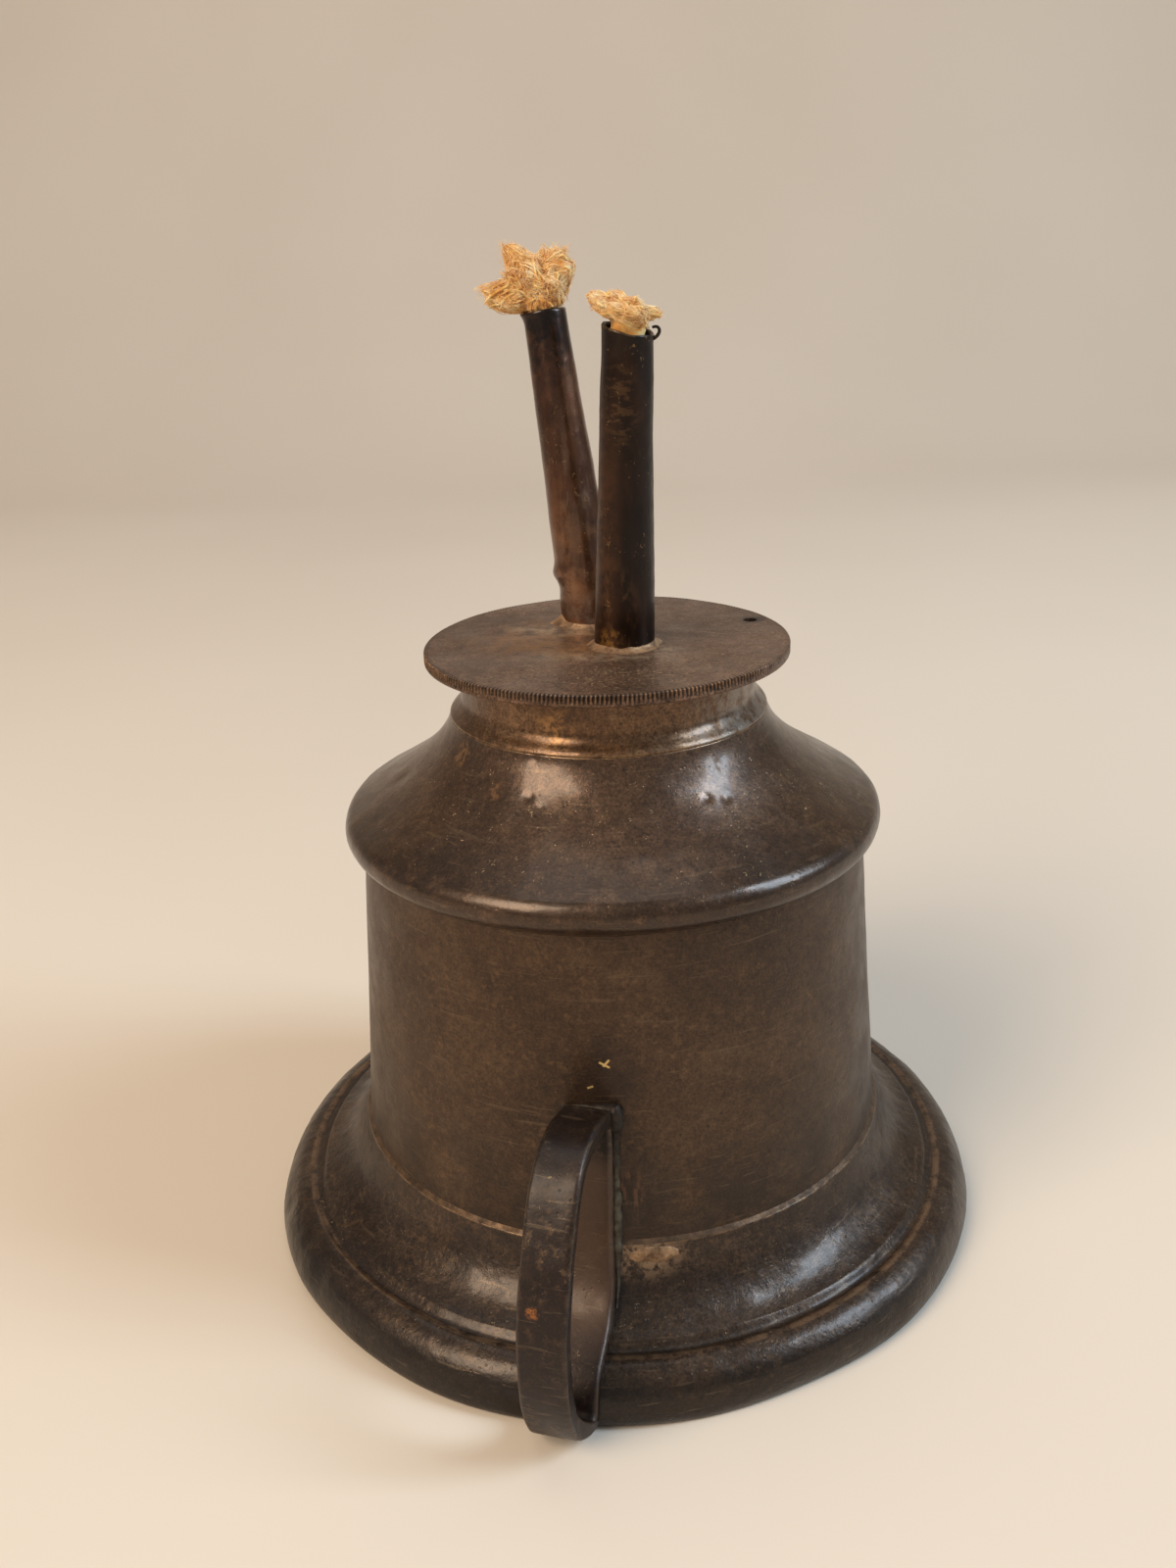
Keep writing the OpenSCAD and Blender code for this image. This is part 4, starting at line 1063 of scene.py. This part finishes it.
# ---------------------------------------------------------------- solder and repair on the lamp
def ring_solder():
    """Rough runs of solder down both sides of the strap and over its top end."""
    low, top = 1.3 * EDGE_H + 0.5, RING_TOP + 0.3
    heights = np.linspace(low, top, 110)
    line = lamp_line(0, RING_TOP + 3)
    line = line[np.argsort(line[:, 1])]
    reach = np.interp(heights, line[:, 1], line[:, 0])
    side = strap_half(heights) + 0.1
    path = []
    for s, order in ((1, 1), (-1, -1)):
        out = np.sqrt((reach + RING_R0) ** 2 - (0.8 * side) ** 2) - RING_R0
        path.append(in_ring_plane(np.c_[out, heights][::order], s * side[::order]))
    across = np.linspace(side[-1], -side[-1], 30)[1:-1]
    path.insert(1, in_ring_plane(np.c_[np.full(28, reach[-1] - 0.15), np.full(28, top - 0.1)], across))
    path = np.vstack(path)
    full = np.clip((path[:, 2] - low) / 6, 0, 1)
    corner = np.exp(-(np.linalg.norm(path - path[109] + [0, 0, 0.6], axis=1) / 1.8) ** 2)
    full = full * (1 + 1.2 * corner) * np.where(path[:, 2] > top - 0.2, 0.8, 1)
    radius = 0.12 + 0.46 * full * (1 + 0.3 * layers(path, 2.2, 81) + 0.15 * layers(path, 0.8, 84))
    p, faces = sweep(path, np.clip(radius, 0.1, 1.1), 20)
    p = p + 0.05 * np.c_[layers(p, 0.9, 91), layers(p, 0.9, 94), layers(p, 0.9, 97)]
    return piece("ring_solder_lumpy", p, faces, "lamp", ["ring_solder"], solder_green, 60)


ring_solder()


def repair_patch():
    """A smear of solder on the foot just under the joint, thinning out to nothing at its edge."""
    rows, cols = 26, 60
    top = spaced(skirt[(skirt[:, 1] > JOINT_Z - 2.4) & (skirt[:, 1] < JOINT_Z - 0.05)], rows)
    normal = skin(top, 1) - top
    a = np.radians(np.linspace(-90.5, -80, cols))
    sheets = []
    for lift in (1, 0):
        for k in range(rows):
            across, along = np.linspace(-1, 1, cols), 2 * k / (rows - 1) - 1
            q = np.c_[top[k, 0] * np.cos(a), top[k, 0] * np.sin(a), np.full(cols, top[k, 1])]
            edge = np.clip(1.1 - across**2 - along**2 + 0.25 * layers(q, 1.5, 101), 0, 1)
            t = lift * PATCH_T * edge * (0.75 + 0.35 * layers(q, 0.8, 103)) - 0.12 * (1 - lift) - 0.06 * (1 - np.minimum(edge * 3, 1))
            r, z = top[k, 0] + normal[k, 0] * t, top[k, 1] + normal[k, 1] * t
            sheets.append(np.c_[r * np.cos(a), r * np.sin(a), z])
    p = out_of_round(np.vstack(sheets))
    n = rows * cols
    faces = grid_faces(rows, cols, False, False) + [f[::-1] for f in grid_faces(rows, cols, False, False, first=n)]
    edge = [k for k in range(cols)] + [r * cols + cols - 1 for r in range(1, rows)] + [
        (rows - 1) * cols + k for k in range(cols - 2, -1, -1)] + [r * cols for r in range(rows - 2, 0, -1)]
    for k, m in zip(edge, edge[1:] + edge[:1]):
        faces.append([m, k, n + k, n + m])
    return piece("repair_patch_smear", p, faces, "lamp", ["repair_patch"], solder_pale, 60)


repair_patch()

# ---------------------------------------------------------------- wicks
FRONT_FRAY = [(180, 12, 0.55, 4), (0, -5, 0.4, 5), (160, 50, 0.3, 5), (165, 30, 0.43, 40), (195, 15, 0.38, 40), (240, 30, 0.33, 40),
              (285, 15, 0.38, 40), (330, 30, 0.38, 40), (15, 15, 0.43, 40), (60, 30, 0.38, 40), (120, 45, 0.33, 40),
              (90, 15, 0.33, 40), (210, 60, 0.29, 40), (315, 60, 0.24, 40)]
BACK_FRAY = [(165, 45, 0.5, 4), (20, 40, 0.45, 4), (0, 90, 0.2, 3), (180, 0, 0.75, 14), (182, 12, 1.22, 50),
             (172, 58, 1.3, 90), (160, 72, 0.7, 60), (30, 62, 0.75, 60), (12, 52, 0.8, 90), (350, 30, 0.5, 60), (20, 76, 0.6, 60),
             (270, 75, 0.41, 40), (240, 30, 0.41, 40), (285, 15, 0.37, 40), (315, 45, 0.37, 40), (90, 30, 0.41, 40),
             (60, 15, 0.33, 40), (120, 60, 0.37, 40), (205, -8, 0.8, 50), (200, 35, 0.8, 50), (135, 0, 0.37, 40)]


def sphere_way(az, el):
    az, el = np.radians(az), np.radians(el)
    return np.stack([np.cos(el) * np.cos(az), np.cos(el) * np.sin(az), np.sin(el)], -1)


def fray_reach(d, r, fray):
    """How far the frayed cotton stands out in directions d."""
    out = np.ones(len(d))
    for az, el, reach, sharp in fray:
        c = np.clip(d @ sphere_way(az, el), 0, None)
        out = out + reach * c**sharp
    return r * out


def wick(name, tube, node, body, fray_r, up, tall, fray, flow, slope, locks, fibres, seed):
    """A wick: a woolly mass of cotton with wisps, locks and loose fibres, a twisted shaft in the tube
    and a tail that hangs in the font."""
    rng = np.random.default_rng(seed)
    parts = Parts()
    mouth = tube.at + tube.length * tube.axis
    level_x = np.array([1.0, 0, 0]) - tube.axis * tube.axis[0]
    level_x /= np.linalg.norm(level_x)
    level_y = np.cross(tube.axis, level_x)
    broad = [f if f[3] < 20 else (f[0], f[1], 0.35 * f[2], 0.4 * f[3]) for f in fray]

    def out(q):
        """Points of the mouth's frame, whose directions count from the lamp's +X, in the lamp's frame."""
        return mouth + q[:, :1] * level_x + q[:, 1:2] * level_y + (q[:, 2:] - slope * q[:, :1]) * tube.axis

    def mass(d, over=1.0):
        """The woolly mass's surface in directions d: folds and locks over the frayed end's broad form."""
        lumps = 0.42 * layers(d * 3.0, 1.9, seed) + 0.2 * (0.5 - np.abs(layers(d * [3, 3, 5], 0.9, seed + 4)))
        q = d * (fray_reach(d, fray_r, broad) * over * (1 + lumps / fray_r * 1.6))[:, None]
        q[:, 2] = np.maximum(up * fray_r + tall * q[:, 2], 0.15 - 0.7 * (np.hypot(q[:, 0], q[:, 1]) < tube.r1 - TUBE_T))
        return q

    n, m = 96, 60
    az, el = np.meshgrid(np.arange(n) * 360 / n, np.linspace(-87, 87, m), indexing="xy")
    q = mass(sphere_way(az.ravel(), el.ravel()))
    q = np.vstack([q, [[0, 0, q[:n, 2].mean()]], [[0, 0, q[-n:, 2].mean()]]])
    faces = grid_faces(m, n, close_rows=False)
    faces += [[(j + 1) % n, j, n * m] for j in range(n)] + [[(m - 1) * n + j, (m - 1) * n + (j + 1) % n, n * m + 1] for j in range(n)]
    parts.add(out(q), faces)

    def hair(line, thick, sides=3):
        line[:, 2] = np.maximum(line[:, 2], np.where(np.hypot(line[:, 0], line[:, 1]) > tube.r1 - TUBE_T, 0.1, -1))
        parts.add(*sweep(out(line), thick, sides))

    # locks and loose fibres that lie along the mass and lift off it at their ends
    t = np.linspace(-1, 1, 11)[:, None]
    for k in range(locks + fibres):
        thick = rng.uniform(0.09, 0.2) if k < locks else rng.uniform(0.025, 0.05)
        d = sphere_way(rng.uniform(0, 360), math.degrees(math.asin(rng.uniform(-0.3, 1))))
        side = np.array(flow) + rng.normal(0, 0.55, 3)
        side = side - d * (side @ d)
        side /= np.linalg.norm(side)
        bend = np.cross(d, side)
        length, curl = rng.uniform(0.4, 1.1), rng.normal(0, 0.25)
        way = d + length * t * side + curl * t * t * bend + 0.06 * np.sin(5 * t + rng.uniform(0, 6)) * bend
        way /= np.linalg.norm(way, axis=1)[:, None]
        lift = rng.uniform(0, 0.16) * (t[:, 0] + rng.uniform(-0.6, 0.6)) ** 2 + (0.0 if k < locks else rng.uniform(-0.01, 0.05))
        line = mass(way) * 1.0
        hair(line + (way * [1, 1, tall]) * (lift * fray_r)[:, None], thick * (1.05 - t[:, 0] ** 4), 5 if k < locks else 3)

    # wisps: bundles of fibres drawn out to the frayed end's points
    t = np.linspace(0, 1, 10)[:, None]
    for f in fray:
        if f[3] < 20:
            continue
        d = sphere_way(f[0], f[1])[None]
        tip_at = d[0] * fray_reach(d, fray_r, fray)[0]
        tip_at[2] = max(up * fray_r + tall * tip_at[2], 0.35)
        root = mass(d, 0.55)[0]
        reach = np.linalg.norm(tip_at - root)
        for _ in range(int(24 + 50 * f[2])):
            end = root + (tip_at - root) * rng.uniform(0.55, 1.1) + rng.normal(0, 0.10, 3) * reach * 0.8
            start = root + rng.normal(0, 0.2, 3) * fray_r * 0.8
            sag = rng.normal(0, 0.12, 3) * reach
            line = start + (end - start) * t + sag * (t * (1 - t)) * 4
            line = line + np.sin(t * rng.uniform(3, 9) + rng.uniform(0, 6)) * rng.normal(0, 0.07, 3)
            hair(line, rng.uniform(0.03, 0.1) * (1 - 0.75 * t[:, 0] ** 2))

    # shaft and tail, twisted from three yarns
    r = tube.r1 - TUBE_T - WICK_GAP
    bend_at = tube.at - WICK_STIFF * tube.axis
    low = JOINT_Z + FLOOR_UP + FLOOR_T + TAIL_UP
    path = np.vstack([mouth + 0.6 * tube.axis, tube.at, bend_at + 1.5 * tube.axis, bend_at - [0, 0, 1.5],
                      [bend_at[0], bend_at[1], low]])
    path = spaced(path, 150)
    for _ in range(4):
        path[1:-1] = 0.5 * path[1:-1] + 0.25 * (path[2:] + path[:-2])
    s = np.r_[0, np.cumsum(np.linalg.norm(np.diff(path, axis=0), axis=1))]
    u, v = frames(path)
    n = 30
    a = np.linspace(0, 2 * math.pi, n, endpoint=False)[None]
    yarn = np.abs(np.cos(1.5 * (a - s[:, None] * 0.9)))
    rr = r * (0.84 + 0.16 * yarn)
    p = path[:, None] + rr[..., None] * (u[:, None] * np.cos(a)[..., None] + v[:, None] * np.sin(a)[..., None])
    p = p.reshape(-1, 3)
    p = p + 0.04 * np.c_[layers(p, 0.7, seed + 9), layers(p, 0.7, seed + 12), layers(p, 0.7, seed + 15)]
    faces = grid_faces(len(path), n, close_rows=False)
    last = (len(path) - 1) * n
    faces += [[(j + 1) % n, j, len(p)] for j in range(n)] + [[last + j, last + (j + 1) % n, len(p) + 1] for j in range(n)]
    parts.add(np.vstack([p, path[0], path[-1]]), faces)
    return piece(name, parts.all_points(), parts.faces, body, [node], cotton, 70)


wick("front_wick_frayed", front, "front_wick", "front_wick", 2.1, 0.52, 0.62, FRONT_FRAY, (-1, 0.2, 0.4), MOUTH_SLOPE, 80, 420, 201)
wick("back_wick_frayed", back, "back_wick", "back_wick", 2.45, 0.73, 1.0, BACK_FRAY, (-0.4, 0, 1), 0, 110, 620, 307)

# ---------------------------------------------------------------- CAD nodes that keep their shape
for node, material in {"font_floor": inner_skin, "washer": leather, "neck_solder": solder_dark, "plug_solder": solder_dark,
                       "floor_solder": solder_dark, "foot_solder": seam, "rim_solder": seam}.items():
    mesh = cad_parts[node].data
    mesh.materials.clear()
    mesh.materials.append(material)


# ---------------------------------------------------------------- stage, light and camera
def stage():
    """A pale floor that curves up into a backdrop."""
    section = np.vstack([[-1.6, 0], [0.55, 0], arc([0.55, 0.35], 0.35, -90, 0, 24)[1:], [0.9, 1.6]])
    x = np.linspace(-2.2, 2.2, 3)
    points = [[a, y, z] for y, z in section for a in x]
    mesh = bpy.data.meshes.new("sweep")
    mesh.from_pydata(points, [], grid_faces(len(section), 3, False, False))
    mesh.shade_smooth()
    obj = bpy.data.objects.new("stage_sweep", mesh)
    bpy.context.scene.collection.objects.link(obj)
    p = Paint("stage_paper")
    p.set(Base_Color=p.ramp(p.noise(400, 3), (0.3, linear(210, 196, 180)), (0.7, linear(218, 205, 190))), Roughness=0.9,
          Specular_IOR_Level=0.2)
    mesh.materials.append(p.material)


def softbox(name, azimuth, elevation, distance, size, power, colour):
    target = Vector((0, 0, 0.045))
    a, e = math.radians(azimuth), math.radians(elevation)
    place = target + distance * Vector((math.cos(e) * math.cos(a), math.cos(e) * math.sin(a), math.sin(e)))
    light = bpy.data.lights.new(name, "AREA")
    light.shape, (light.size, light.size_y) = "RECTANGLE", size
    light.energy, light.color = power, colour
    obj = bpy.data.objects.new(name, light)
    obj.location = place
    obj.rotation_euler = (place - target).to_track_quat("Z", "Y").to_euler()
    bpy.context.scene.collection.objects.link(obj)


def camera():
    """The photograph's own camera: a phone held close, tilted a little."""
    pitch, roll, yaw = (math.radians(x) for x in (21.628, -2.247, -1.033))
    ahead = Vector((math.sin(yaw) * math.cos(pitch), math.cos(yaw) * math.cos(pitch), -math.sin(pitch)))
    right = Vector((math.cos(yaw), -math.sin(yaw), 0))
    up = right.cross(ahead)
    across = math.cos(roll) * right + math.sin(roll) * up
    above = -math.sin(roll) * right + math.cos(roll) * up
    data = bpy.data.cameras.new("camera")
    data.lens, data.sensor_width = 1400 / 1600 * 36, 36
    data.clip_start, data.clip_end = 0.01, 20
    obj = bpy.data.objects.new("camera", data)
    turn = Matrix((across, above, -ahead)).transposed().to_4x4()
    obj.matrix_world = Matrix.Translation((0, -0.156649, 0.118920)) @ turn
    bpy.context.scene.collection.objects.link(obj)
    bpy.context.scene.camera = obj


stage()
softbox("softbox_right", -10, 38, 0.9, (0.26, 0.5), 6.4, (0.64, 0.82, 1.0))
softbox("softbox_left", -137, 41, 0.9, (0.42, 0.55), 7.1, (1.0, 0.83, 0.63))
softbox("softbox_top", 100, 72, 1.2, (0.8, 0.8), 2.4, (1.0, 0.97, 0.93))
camera()
world = bpy.data.worlds.new("soft_room")
world.use_nodes = True
background = world.node_tree.nodes["Background"]
background.inputs["Color"].default_value = (0.62, 0.6, 0.58, 1)
background.inputs["Strength"].default_value = 0.45
bpy.context.scene.world = world
bpy.context.scene.view_settings.view_transform = "Standard"
